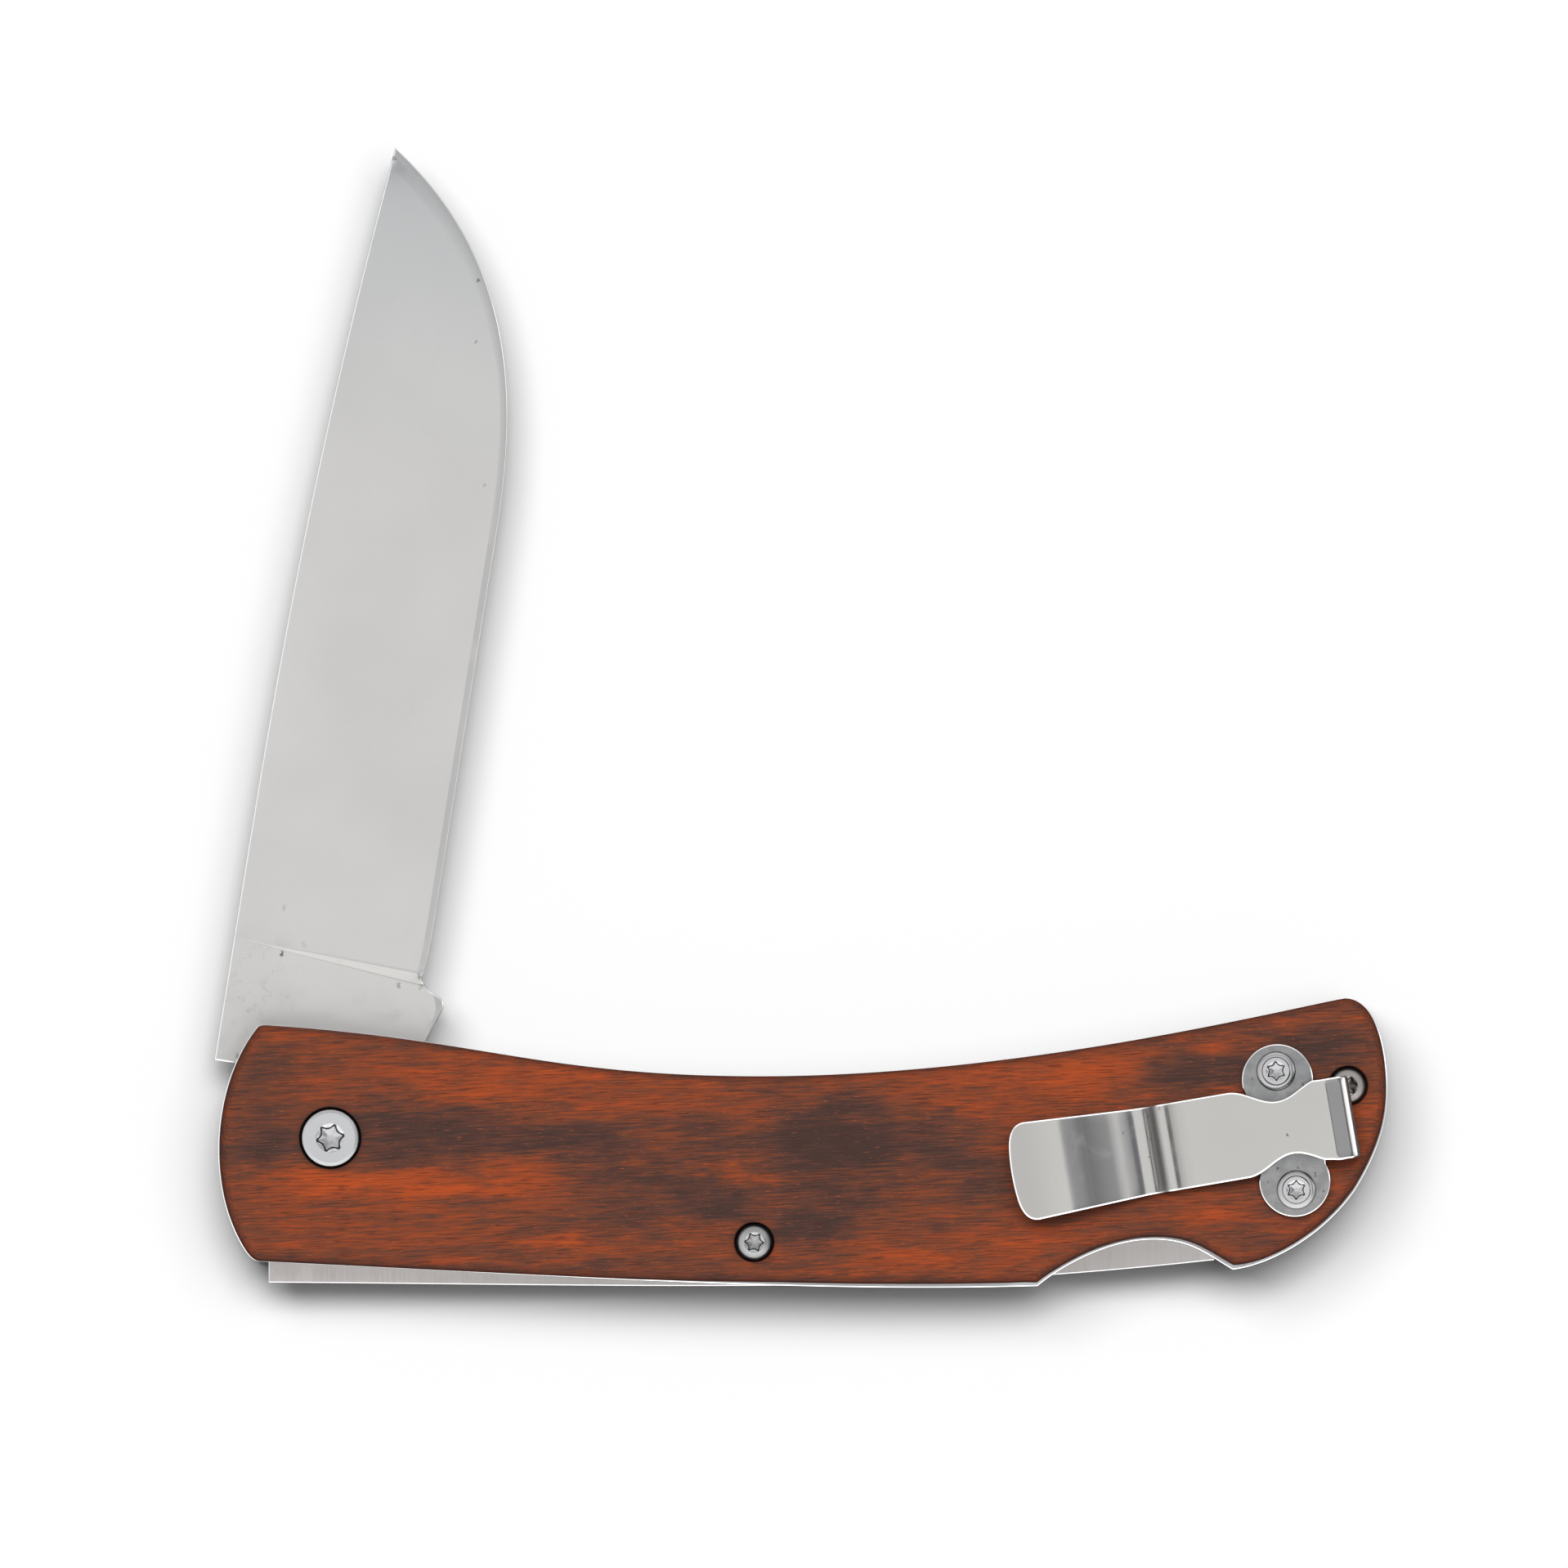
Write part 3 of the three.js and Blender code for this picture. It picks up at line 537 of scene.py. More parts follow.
def speck_group():
    """Sparse small pits and stains."""
    g, given, out = new_group(
        "specks",
        [("Place", VECTOR, None), ("Spacing", FLOAT, 3.0), ("Size", FLOAT, 0.16)],
        [("Mask", FLOAT)],
    )
    inverse = g.math("DIVIDE", 1.0, given["Spacing"])
    wavy = g.noise(given["Place"], 1.6, 3.0, 0.6)
    push = g.node("ShaderNodeTexNoise", {"Vector": given["Place"], "Scale": 2.3, "Detail": 2.0}).outputs[1]
    pushed = g.vector("ADD", given["Place"], g.vector("SCALE", push, 0.35))
    cell_place = g.vector("SCALE", pushed, inverse)
    cells = g.node("ShaderNodeTexVoronoi", {"Vector": cell_place, "Scale": 1.0, "Randomness": 1.0})
    reach = g.math("MULTIPLY", cells.outputs["Distance"], given["Spacing"])
    pick = g.node("ShaderNodeSeparateColor", {0: cells.outputs["Color"]}).outputs[0]
    size = g.math("MULTIPLY", given["Size"], g.span(pick, 0.45, 1.0, 0.0, 1.0, "LINEAR"))
    dot = g.span(g.math("SUBTRACT", size, reach), -0.04, 0.05)
    g.put(out.inputs["Mask"], g.math("MULTIPLY", dot, g.span(wavy, 0.4, 0.62)))
    return g.tree


def drift_group():
    """Slow uneven tone, as on handled metal."""
    g, given, out = new_group(
        "tone_drift",
        [("Place", VECTOR, None), ("Size", FLOAT, 14.0)],
        [("Tone", FLOAT), ("Smudge", FLOAT)],
    )
    scale = g.math("DIVIDE", 1.0, given["Size"])
    slow = g.noise(given["Place"], scale, 2.0, 0.5)
    rub = g.noise(given["Place"], g.math("MULTIPLY", scale, 5.0), 4.0, 0.62, 0.6)
    g.put(out.inputs["Tone"], g.span(slow, 0.3, 0.7))
    g.put(out.inputs["Smudge"], g.span(rub, 0.5, 0.78))
    return g.tree


def wood_group():
    """Red brown wood with dark streaks. The grain runs along the place's X."""
    g, given, out = new_group(
        "oiled_wood",
        [("Place", VECTOR, None), ("Dark", FLOAT, 0.0)],
        [("Colour", COLOUR), ("Height", FLOAT), ("Roughness", FLOAT)],
    )

    def grained(along, across, scale=1.0, **more):
        drawn = g.vector("MULTIPLY", given["Place"], (1.0 / along, 1.0 / across, 1.0 / across))
        return g.noise(drawn, scale, **more)

    patch = grained(15.0, 4.2, detail=3.0, roughness=0.55, distortion=0.4)
    streak = grained(8.0, 0.9, detail=4.0, roughness=0.62, distortion=0.25)
    fibre = grained(3.4, 0.16, detail=3.0, roughness=0.64)
    pore = grained(2.6, 0.13, detail=1.0, roughness=0.4)
    fleck = grained(1.0, 0.11, detail=1.0, roughness=0.5)
    # The cross-grain patches are painted chatoyant sheen, lighter and darker across the grain
    cross_sheen = grained(1.9, 1.7, detail=3.0, roughness=0.55)
    dark = g.math("MULTIPLY_ADD", g.math("SUBTRACT", patch, 0.5), 0.62, 0.47)
    dark = g.math("MULTIPLY_ADD", g.math("SUBTRACT", streak, 0.5), 0.85, dark)
    dark = g.math("MULTIPLY_ADD", g.math("SUBTRACT", fibre, 0.5), 1.3, dark)
    dark = g.math("MULTIPLY_ADD", g.math("SUBTRACT", cross_sheen, 0.5), 0.26, dark)
    dark = g.math("ADD", dark, given["Dark"])
    base = g.ramp(
        dark,
        (0.0, (0.40, 0.068, 0.017)),
        (0.28, (0.270, 0.055, 0.019)),
        (0.55, (0.150, 0.045, 0.023)),
        (0.8, (0.080, 0.034, 0.025)),
        (1.0, (0.050, 0.026, 0.021)),
    )
    pores = g.math("MULTIPLY", g.span(pore, 0.57, 0.66), 0.55)
    drawn = g.mix(pores, base, (0.045, 0.016, 0.011, 1.0))
    flecks = g.math("MULTIPLY", g.span(fleck, 0.66, 0.76), 0.45)
    drawn = g.mix(flecks, drawn, (0.50, 0.12, 0.035, 1.0))
    g.put(out.inputs["Colour"], drawn)
    g.put(out.inputs["Height"], g.math("SUBTRACT", g.math("MULTIPLY", fibre, 0.5), pores))
    g.put(out.inputs["Roughness"], g.math("MULTIPLY_ADD", fibre, 0.22, 0.36))
    return g.tree


PLACE = place_group()
HAIRLINES = scratch_group()
SPECKS = speck_group()
DRIFT = drift_group()
WOOD = wood_group()


def new_material(name):
    material = bpy.data.materials.new(name)
    material.use_nodes = True
    material.node_tree.nodes.clear()
    g = Graph(material.node_tree)
    shader = g.node("ShaderNodeBsdfPrincipled")
    g.node("ShaderNodeOutputMaterial", {"Surface": shader.outputs[0]})
    return material, g, shader


def attribute(g, name):
    return g.node("ShaderNodeAttribute", attribute_name=name).outputs["Fac"]


PIT_TONE = (0.11, 0.10, 0.09, 1.0)
RUB_TONE = (0.36, 0.35, 0.33, 1.0)
NICK_TONE = (0.14, 0.115, 0.10, 1.0)
POLISH_AND_HIGHLIGHT_TONE = (0.90, 0.90, 0.90, 1.0)
PAINTED_SHADE_TONE = (0.035, 0.03, 0.03, 1.0)
EDGE_DARK_AND_SEAT_SHADE_TONE = (0.016, 0.008, 0.007, 1.0)
NICK_SQUEEZE = 0.62


def pitted(g, place, colour, roughness, size, spacing):
    """Sparse small pits."""
    pits = g.group(SPECKS, {"Place": place, "Spacing": spacing, "Size": size})["Mask"]
    colour = g.mix(g.math("MULTIPLY", pits, 0.75), colour, PIT_TONE)
    return colour, g.math("MULTIPLY_ADD", pits, 0.3, roughness)


def rubbed(g, place, colour, roughness, centre, reach, strength):
    """Dull marks round one place."""
    spot = g.span(g.vector("DISTANCE", place, centre), reach, reach * 0.3)
    marks = g.span(g.noise(place, 0.9, 5.0, 0.7, 0.8), 0.54, 0.68)
    marks = g.math("MULTIPLY", g.math("MULTIPLY", marks, spot), strength)
    return g.mix(marks, colour, RUB_TONE), g.math("MULTIPLY_ADD", marks, 0.3, roughness)


def nicked(g, place, colour, nicks):
    """Single small dark nicks: (x, y, size, strength) in millimetres."""
    uneven = g.node("ShaderNodeTexNoise", {"Vector": place, "Scale": 3.4, "Detail": 2.0}).outputs[1]
    push = g.vector("SCALE", g.vector("SUBTRACT", uneven, (0.5, 0.5, 0.5)), 0.7)
    still = g.vector("ADD", g.group(PLACE, {"Turn": 0.0})[0], push)
    flat = g.vector("MULTIPLY", still, (1.0, NICK_SQUEEZE, 0.0))
    for x, y, size, strength in nicks:
        away = g.vector("DISTANCE", flat, (x, y * NICK_SQUEEZE, 0.0))
        colour = g.mix(g.span(away, size, size * 0.4, 0.0, strength), colour, NICK_TONE)
    return colour


def dulled_and_shaded(g, place, colour, roughness, edge, depth):
    """The blotched darker tone of the points marked as ear: partly their duller finish and partly painted
    shade from the tongue above them. It also dims the painted highlight on their polished edge.
    """
    ear = attribute(g, "ear")
    blotch = g.span(g.noise(place, 0.75, 4.0, 0.62), 0.34, 0.66, 0.72, 1.0)
    dull_and_shade = g.math("MULTIPLY", ear, blotch)
    edge = g.math("MULTIPLY", edge, g.math("MULTIPLY_ADD", ear, -0.3, 1.0))
    dull_and_shade = g.math("MULTIPLY", dull_and_shade, g.math("SUBTRACT", 1.0, g.math("MULTIPLY", edge, 0.8)))
    tone = (depth * 0.96, depth * 0.99, depth * 1.05, 1.0)
    return g.mix(dull_and_shade, colour, tone, "MULTIPLY"), g.math("MULTIPLY_ADD", dull_and_shade, 0.14, roughness), edge


def steel(
    name, light, shade, rough, turn=0.0, length=6.0, lines=0.5, specks=0.0, spacing=3.0,
    tip_tone=None, worn=None, nicks=(), ear=1.0, polish_and_highlight=0.85,
):
    """Satin steel: hairlines, uneven tone, pits, a polished edge with a painted highlight where the piece has
    one, and painted shade where points are marked shade.
    """
    material, g, shader = new_material(name)
    place = g.group(PLACE, {"Turn": turn})[0]
    hair = g.group(HAIRLINES, {"Place": place, "Length": length, "Width": 0.07})
    drift = g.group(DRIFT, {"Place": place, "Size": 16.0})
    colour = g.mix(drift["Tone"], (*shade, 1.0), (*light, 1.0))
    if tip_tone:
        axis, start, end, tone = tip_tone
        reach = g.vector("DOT_PRODUCT", place, axis)
        colour = g.mix(g.span(reach, start, end), colour, (*tone, 1.0))
    colour = g.mix(g.math("MULTIPLY", hair["Mask"], 0.12 * lines), colour, (*shade, 1.0), "MULTIPLY")
    roughness = g.math("MULTIPLY_ADD", drift["Smudge"], 0.1, rough)
    roughness = g.math("MULTIPLY_ADD", hair["Height"], 0.16 * lines, roughness)
    if specks:
        colour, roughness = pitted(g, place, colour, roughness, specks, spacing)
    if worn:
        colour, roughness = rubbed(g, place, colour, roughness, *worn)
    if nicks:
        colour = nicked(g, place, colour, nicks)
    edge = attribute(g, "edge")
    if ear < 1:
        colour, roughness, edge = dulled_and_shaded(g, place, colour, roughness, edge, ear)
    # Polished edges: lower roughness, and a painted highlight that whitens their colour
    colour = g.mix(g.math("MULTIPLY", edge, polish_and_highlight), colour, POLISH_AND_HIGHLIGHT_TONE)
    roughness = g.math("MULTIPLY_ADD", edge, -0.12, roughness)
    # Painted shade: points marked shade go darker and rougher, standing in for shade in grooves, recesses and
    # on the bevel
    painted_shade = attribute(g, "shade")
    colour = g.mix(g.math("MULTIPLY", painted_shade, 0.9), colour, PAINTED_SHADE_TONE)
    roughness = g.math("MULTIPLY_ADD", painted_shade, 0.3, roughness)
    g.put(shader.inputs["Base Color"], colour)
    g.put(shader.inputs["Roughness"], roughness)
    shader.inputs["Metallic"].default_value = 1.0
    bump = g.node("ShaderNodeBump", {"Height": hair["Height"], "Distance": 0.00001, "Strength": 0.35 * lines})
    g.put(shader.inputs["Normal"], bump.outputs[0])
    return material


def wood(name, shift, zones):
    """The zones are soft dark patches: (x, y, half length, half height, strength) in millimetres."""
    material, g, shader = new_material(name)
    place = g.group(PLACE, {"Turn": math.radians(-2.5)})[0]
    flat = g.group(PLACE, {"Turn": 0.0})[0]
    stretched = g.vector("MULTIPLY", flat, (0.1, 0.3, 0.3))
    wander = g.node("ShaderNodeTexNoise", {
        "Vector": stretched, "Scale": 1.0, "Detail": 4.0, "Roughness": 0.65,
    }).outputs[1]
    ragged = g.vector("SCALE", wander, 7.0)
    pushed = g.vector("ADD", flat, g.vector("SUBTRACT", ragged, (3.5, 3.5, 3.5)))
    dark = None
    for x, y, half_length, half_height, strength in zones:
        away = g.vector("SUBTRACT", pushed, (x, y, 0.0))
        scaled = g.vector("MULTIPLY", away, (1.0 / half_length, 1.0 / half_height, 0.0))
        spot = g.math("MULTIPLY", g.span(g.vector("LENGTH", scaled), 1.4, 0.2), strength)
        dark = spot if dark is None else g.math("ADD", dark, spot)
    grain = g.group(WOOD, {"Place": g.vector("ADD", place, shift), "Dark": dark})
    # Darker on the rounded edge and round the screw seats, with painted shade on the seats' walls
    edge = attribute(g, "edge")
    colour = g.mix(g.math("MULTIPLY", edge, 0.5, clamp=True), grain["Colour"], EDGE_DARK_AND_SEAT_SHADE_TONE)
    g.put(shader.inputs["Base Color"], colour)
    g.put(shader.inputs["Roughness"], grain["Roughness"])
    shader.inputs["Specular IOR Level"].default_value = 0.2
    bump = g.node("ShaderNodeBump", {"Height": grain["Height"], "Distance": 0.00006, "Strength": 0.4})
    g.put(shader.inputs["Normal"], bump.outputs[0])
    return material


blade_steel = steel(
    "blade_satin_steel", (0.655, 0.645, 0.625), (0.61, 0.60, 0.585), 0.40,
    turn=math.pi / 2 - BLADE_OPENING, length=9.0, lines=0.4, specks=0.15, spacing=6.0,
    tip_tone=((0.0, 1.0, 0.0), 60.0, 98.0, (0.55, 0.555, 0.555)),
    worn=((-10.1, 12.8, 7.5), 7.0, 0.32),
    nicks=(
        (-4.74, 18.0, 0.24, 0.9), (8.72, 15.76, 0.22, 0.6), (6.66, 15.0, 0.24, 0.5),
        (-9.1, 8.0, 0.26, 0.5), (-4.56, 22.56, 0.22, 0.25), (-2.6, 18.9, 0.3, 0.14),
        (14.45, 83.9, 0.2, 0.75), (14.16, 77.9, 0.14, 0.45), (15.1, 63.9, 0.13, 0.4),
    ),
)
bar_steel = steel(
    "lock_bar_steel", (0.565, 0.54, 0.525), (0.48, 0.455, 0.44), 0.34,
    turn=math.pi / 2, length=5.0, lines=2.6, specks=0.1, spacing=4.0, polish_and_highlight=0.55,
    tip_tone=((0.0, 1.0, 0.0), 26.0, 6.0, (0.565, 0.535, 0.52)),
)
liner_steel = steel("liner_ground_steel", (0.60, 0.60, 0.60), (0.52, 0.52, 0.53), 0.24, length=5.0, lines=0.8)
clip_steel = steel(
    "clip_satin_steel", (0.585, 0.57, 0.545), (0.55, 0.54, 0.515), 0.15,
    turn=-CLIP_ANGLE, length=7.0, lines=0.3, specks=0.17, spacing=2.4, ear=0.50,
    tip_tone=((1.0, 0.0, 0.0), 70.2, 66.0, (0.50, 0.485, 0.465)),
    nicks=(
        (93.68, 0.29, 0.13, 0.8), (95.18, 5.28, 0.17, 0.8), (92.7, -2.96, 0.12, 0.7),
        (94.72, -2.86, 0.13, 0.7), (96.4, -3.52, 0.17, 0.7), (91.76, -4.38, 0.12, 0.7),
        (90.19, 5.78, 0.13, 0.6), (97.2, -5.12, 0.13, 0.6), (80.0, 2.1, 0.13, 0.6),
        (77.6, 0.4, 0.13, 0.6), (80.2, -0.1, 0.11, 0.4), (81.2, 2.9, 0.12, 0.5),
    ),
)
fine_marks = {"length": 1.6, "lines": 0.25, "specks": 0.1, "spacing": 1.6}
screw_steel = steel("screw_steel", (0.63, 0.63, 0.63), (0.56, 0.56, 0.565), 0.2, **fine_marks)
dull_screw_steel = steel("dull_screw_steel", (0.50, 0.495, 0.49), (0.43, 0.43, 0.43), 0.22, **fine_marks)
worn_screw_steel = steel(
    "worn_screw_steel", (0.57, 0.54, 0.51), (0.40, 0.37, 0.35), 0.3,
    length=1.2, lines=0.6, specks=0.22, spacing=1.1,
)
spring_steel = steel("spring_steel", (0.40, 0.41, 0.43), (0.30, 0.31, 0.33), 0.34, length=4.0, lines=0.8)
washer_bronze = steel("washer_bronze", (0.62, 0.44, 0.22), (0.48, 0.33, 0.16), 0.32, length=2.0, lines=0.8)

FRONT_ZONES = (
    (9.0, 0.8, 10.0, 3.5, 0.45),
    (23.0, -0.9, 9.5, 2.5, 0.40),
    (-6.5, 5.0, 4.0, 3.2, 0.24),
    (-7.5, -0.6, 5.0, 3.6, 0.36),
    (-4.2, -1.6, 3.6, 2.6, 0.22),
    (6.5, -4.7, 14.0, 1.4, -0.40),
    (0.0, -8.2, 12.0, 1.6, -0.05),
    (16.0, 5.6, 9.0, 2.4, -0.20),
    (27.0, 5.0, 10.0, 2.2, -0.14),
    (30.0, -4.6, 9.0, 2.6, 0.30),
    (38.0, -1.5, 6.0, 4.0, 0.26),
    (48.5, 0.2, 6.5, 4.2, 0.57),
    (57.5, 0.2, 6.5, 3.4, 0.36),
    (62.5, -2.6, 5.0, 3.0, 0.30),
    (64.5, -5.4, 4.0, 1.6, 0.22),
    (37.5, -6.4, 3.4, 1.6, 0.34),
    (49.0, -6.6, 11.0, 3.4, 0.28),
    (27.0, -8.4, 9.0, 2.2, 0.24),
    (47.0, -9.0, 4.6, 2.0, 0.30),
    (22.0, -10.4, 8.0, 0.9, -0.26),
    (39.0, -3.6, 6.0, 0.5, -0.30),
    (57.0, -12.0, 6.0, 1.2, -0.24),
    (66.5, -9.6, 5.5, 1.6, -0.14),
    (66.0, 5.0, 9.0, 2.0, -0.20),
    (74.5, 6.6, 5.0, 2.6, -0.16),
    (83.0, 6.6, 5.0, 3.6, 0.34),
    (92.0, 7.4, 6.5, 2.6, 0.40),
    (98.5, 9.4, 4.6, 2.8, 0.33),
    (88.5, -10.2, 5.0, 1.2, 0.14),
    (86.0, -7.4, 4.0, 1.4, -0.18),
    (100.5, 1.0, 3.0, 5.0, -0.04),
    (30.0, -12.6, 30.0, 1.0, 0.14),
)
BACK_ZONES = (
    (20.0, 3.0, 16.0, 3.0, 0.35),
    (66.0, -2.0, 14.0, 3.4, 0.38),
    (92.0, 5.0, 8.0, 3.0, 0.25),
    (46.0, -8.0, 10.0, 2.0, 0.2),
)
front_wood = wood("front_scale_wood", (3.0, 11.0, 4.0), FRONT_ZONES)
back_wood = wood("back_scale_wood", (140.0, 57.0, 23.0), BACK_ZONES)


# Handle: outline, scales, liners and spacer

spine = bezier(
    (4.05 - FRONT_REACH, -SPINE_DROP),
    (35.68, -SPINE_DROP - SPINE_SWELL),
    (55.5, -SPINE_REAR_DROP - SPINE_SWELL - 0.1),
    (CUTOUT_END - 2.08, -SPINE_REAR_DROP),
    240,
)


def handle_outline():
    front_top = (3.81 - FRONT_REACH, SHOULDER_RISE - 0.19)
    front_low = (2.37 - FRONT_REACH, 1.44 - SPINE_DROP)
    front = bezier(front_top, (-FRONT_REACH - 0.49, 5.65), (-FRONT_REACH - 1.45, -4.25), front_low, 60)
    round_handles = (2.85 - FRONT_REACH, 0.63 - SPINE_DROP), (3.45 - FRONT_REACH, -SPINE_DROP)
    front_corner = bezier(front_low, *round_handles, spine[0], 12)
    back = spine[spine[:, 0] < CUTOUT_START - 1]
    start = (CUTOUT_START, height_at(spine, CUTOUT_START))
    top = start[1] + CUTOUT_DEPTH
    apex = (CUTOUT_END - 7.84, top)
    end = (CUTOUT_END, 0.76 - SPINE_REAR_DROP)
    rise = bezier(start, (start[0] + 2.8, top - 2.2), (apex[0] - 3.9, top), apex, 40)
    fall = bezier(apex, (apex[0] + 3.7, top), (end[0] - 2.7, end[1] + 1.6), end, 30)
    low, far, high = (BUTT_REACH - 3.12, -5.04), (BUTT_REACH, 4.96), (BUTT_REACH - 4.16, BUTT_RISE)
    butt = (
        bezier(end, (end[0] + 4.02, end[1] + 0.52), (low[0] - 2.93, low[1] - 4.28), low, 40),
        bezier(low, (low[0] + 3.03, low[1] + 4.95), (far[0], 3.0), far, 30),
        bezier(far, (far[0], 6.6), (high[0] + 3.77, high[1] + 0.01), high, 36),
    )
    waist, shoulder = (WAIST_PLACE, WAIST_RISE), (SHOULDER_SETBACK - FRONT_REACH, SHOULDER_RISE)
    over = (
        bezier(high, (high[0] - 5.45, high[1] - 0.92), (waist[0] + 25.62, waist[1]), waist, 140),
        bezier(waist, (waist[0] - 21.37, waist[1]), (shoulder[0] + 20.92, shoulder[1] - 1.31), shoulder, 110),
    )
    corner = bend(shoulder, (shoulder[0] - CORNER_RADIUS, shoulder[1]), front_top, 8)
    return outline(front, front_corner, back, rise, fall, *butt, *over, corner)


def scale_hole(centre, head, seat, flat_side, outside, dark=1.0):
    """A screw's seat, from the flat side to the outside, with an eased rim. Its walls carry painted shade,
    and the wood round its rim goes darker towards the seat; dark scales both.
    """
    large = head == PIVOT_HEAD
    bore = PIVOT_BORE if large else SLEEVE_BORE
    wide = head + SEAT_GAP
    ease = 0.08 if outside > flat_side else -0.08
    seat_shade = (2.0 if large else 1.6) * dark
    steps = [
        (bore, flat_side, seat_shade), (bore, seat, seat_shade), (wide, seat, seat_shade), (wide, outside - ease, seat_shade - 0.2),
        (wide + abs(ease), outside, seat_shade * 0.4), (wide + 0.2, outside, seat_shade * 0.26),
        (wide + 0.4, outside, seat_shade * 0.12), (wide + 0.75, outside, 0.0),
    ]
    return centre, steps if outside > flat_side else steps[::-1]


# How far the wood stands back from the liners along the handle's back: (place, share of the setback)
BACK_SETBACK = (
    (10, 0.05), (30, 0.15), (44, 1.0), (68, 1.3), (71, 0.9), (80, 0.7), (85, 1.2), (88, 1.5), (91, 0.9),
)


def wood_outline():
    """The liners show as a line that is widest along the handle's back and at the cutout's ends."""
    run = np.roll(handle, -1, axis=0) - np.roll(handle, 1, axis=0)
    outward = -run[:, 0] / np.linalg.norm(run, axis=1)
    low = np.interp(handle[:, 0], *np.array(BACK_SETBACK).T) * SCALE_SETBACK
    side = SCALE_SETBACK * 0.45
    setback = np.where(outward < 0, side - (low - side) * outward, side - 0.4 * SCALE_SETBACK * outward)
    return outline(inset(handle, setback))


handle = handle_outline()
wood_loop = wood_outline()
screw_places = [(-CLIP_SCREW_INSET, side * CLIP_SCREW_OFFSET) for side in (1, -1)]
clip_screws = turned(screw_places, CLIP_ANGLE) + CLIP_ORIGIN

front_scale = plate(wood_loop, rounded(FRONT_SCALE_LOW, FRONT_SCALE_HIGH, FLAT_EDGE, SCALE_EDGE, 8), [
    scale_hole(PIVOT, PIVOT_HEAD, PIVOT_SEAT, FRONT_SCALE_LOW, FRONT_SCALE_HIGH),
    scale_hole(LOCK_PIN, SMALL_HEAD, FRONT_SEAT, FRONT_SCALE_LOW, FRONT_SCALE_HIGH),
    scale_hole(REAR_BARREL, SMALL_HEAD, FRONT_SEAT, FRONT_SCALE_LOW, FRONT_SCALE_HIGH, dark=0.75),
    *((centre, bored(SMALL_SHANK + SEAT_GAP, FRONT_SCALE_LOW, FRONT_SCALE_HIGH)) for centre in clip_screws),
])
keep(front_scale.build("front_scale_wood", front_wood), "handle", "scale_wood", "front_scale")

back_scale = plate(wood_loop, rounded(0.0, SCALE_THICKNESS, SCALE_EDGE, FLAT_EDGE, 8), [
    scale_hole(PIVOT, PIVOT_HEAD, PLAIN_HEAD_HEIGHT, SCALE_THICKNESS, 0.0),
    scale_hole(LOCK_PIN, SMALL_HEAD, BACK_SEAT, SCALE_THICKNESS, 0.0),
    scale_hole(REAR_BARREL, SMALL_HEAD, BACK_SEAT, SCALE_THICKNESS, 0.0),
])
keep(back_scale.build("back_scale_wood", back_wood), "handle", "scale_wood", "back_scale")


def liner(name, node, low, extra=()):
    bores = [(PIVOT, PIVOT_BORE), (LOCK_PIN, SLEEVE_BORE), (REAR_BARREL, SLEEVE_BORE), (DOWEL, DOWEL_BORE)]
    high = low + LINER_THICKNESS
    holes = [(centre, bored(radius, low, high)) for centre, radius in (*bores, *extra)]
    shell = plate(handle, chamfered(low, high, 0.08, 0.08), holes)
    keep(shell.build(name, liner_steel), "handle", "liner_steel", node)


tapped = [(centre, SMALL_SHANK + RUNNING_GAP) for centre in clip_screws]
liner("front_liner_plate", "front_liner", CHANNEL_HIGH, tapped)
liner("back_liner_plate", "back_liner", BACK_LINER_LOW)


# The closed blade's plan, which the spacer makes way for

HEEL = (17.04, -6.3)
POINT_START = 60.0
FAR_SIDE = 40.0


def blade_spine_at(x):
    share = np.clip((np.asarray(x, float) - SPINE_STRAIGHT) / (BLADE_REACH - SPINE_STRAIGHT), 0, 1)
    return BLADE_BACK - (BLADE_BACK - TIP_RISE) * share ** 2.2


def blade_edge(steps=110):
    start = (BLADE_REACH - 39.67, -BLADE_DROP)
    tip = (BLADE_REACH, TIP_RISE)
    belly = bezier(start, (start[0] + 10.76, -BLADE_DROP), (tip[0] - 11.1, -BLADE_DROP - 0.88), tip, steps)
    heel = bezier(HEEL, (17.3, -6.6), (19.5, -BLADE_DROP), (23.0, -BLADE_DROP), 16)
    return np.vstack((heel, belly))


def clipped(loop, x):
    """The part of a loop on the right of an upright line."""
    points = []
    for a, b in zip(loop, np.roll(loop, -1, axis=0)):
        if a[0] >= x:
            points.append(a)
        if (a[0] > x) != (b[0] > x):
            points.append(a + (b - a) * (x - a[0]) / (b[0] - a[0]))
    return np.array(points)


level_bar_top = (LEAF_TIP_PLACE, height_at(spine, LEAF_TIP_PLACE) + BAR_HEIGHT)
bar_top = turned([level_bar_top], BAR_RAISE, LOCK_PIN)[0]
leaf_tip = (LEAF_TIP_PLACE, bar_top[1] + TOUCH_GAP + LEAF_THICKNESS / 2)


def leaf_outline():
    half = LEAF_THICKNESS / 2
    handles = (leaf_tip[0] + 11, leaf_tip[1] + 1.2), (LEAF_ROOT[0] - 10, LEAF_ROOT[1])
    middle = bezier(leaf_tip, *handles, LEAF_ROOT, 60)
    middle = np.vstack((middle, (LEAF_ROOT[0] + LEAF_ROOT_LENGTH, LEAF_ROOT[1])))
    return outline(arc(leaf_tip, half, -90, -270, 16), middle + (0, half), (middle - (0, half))[::-1])


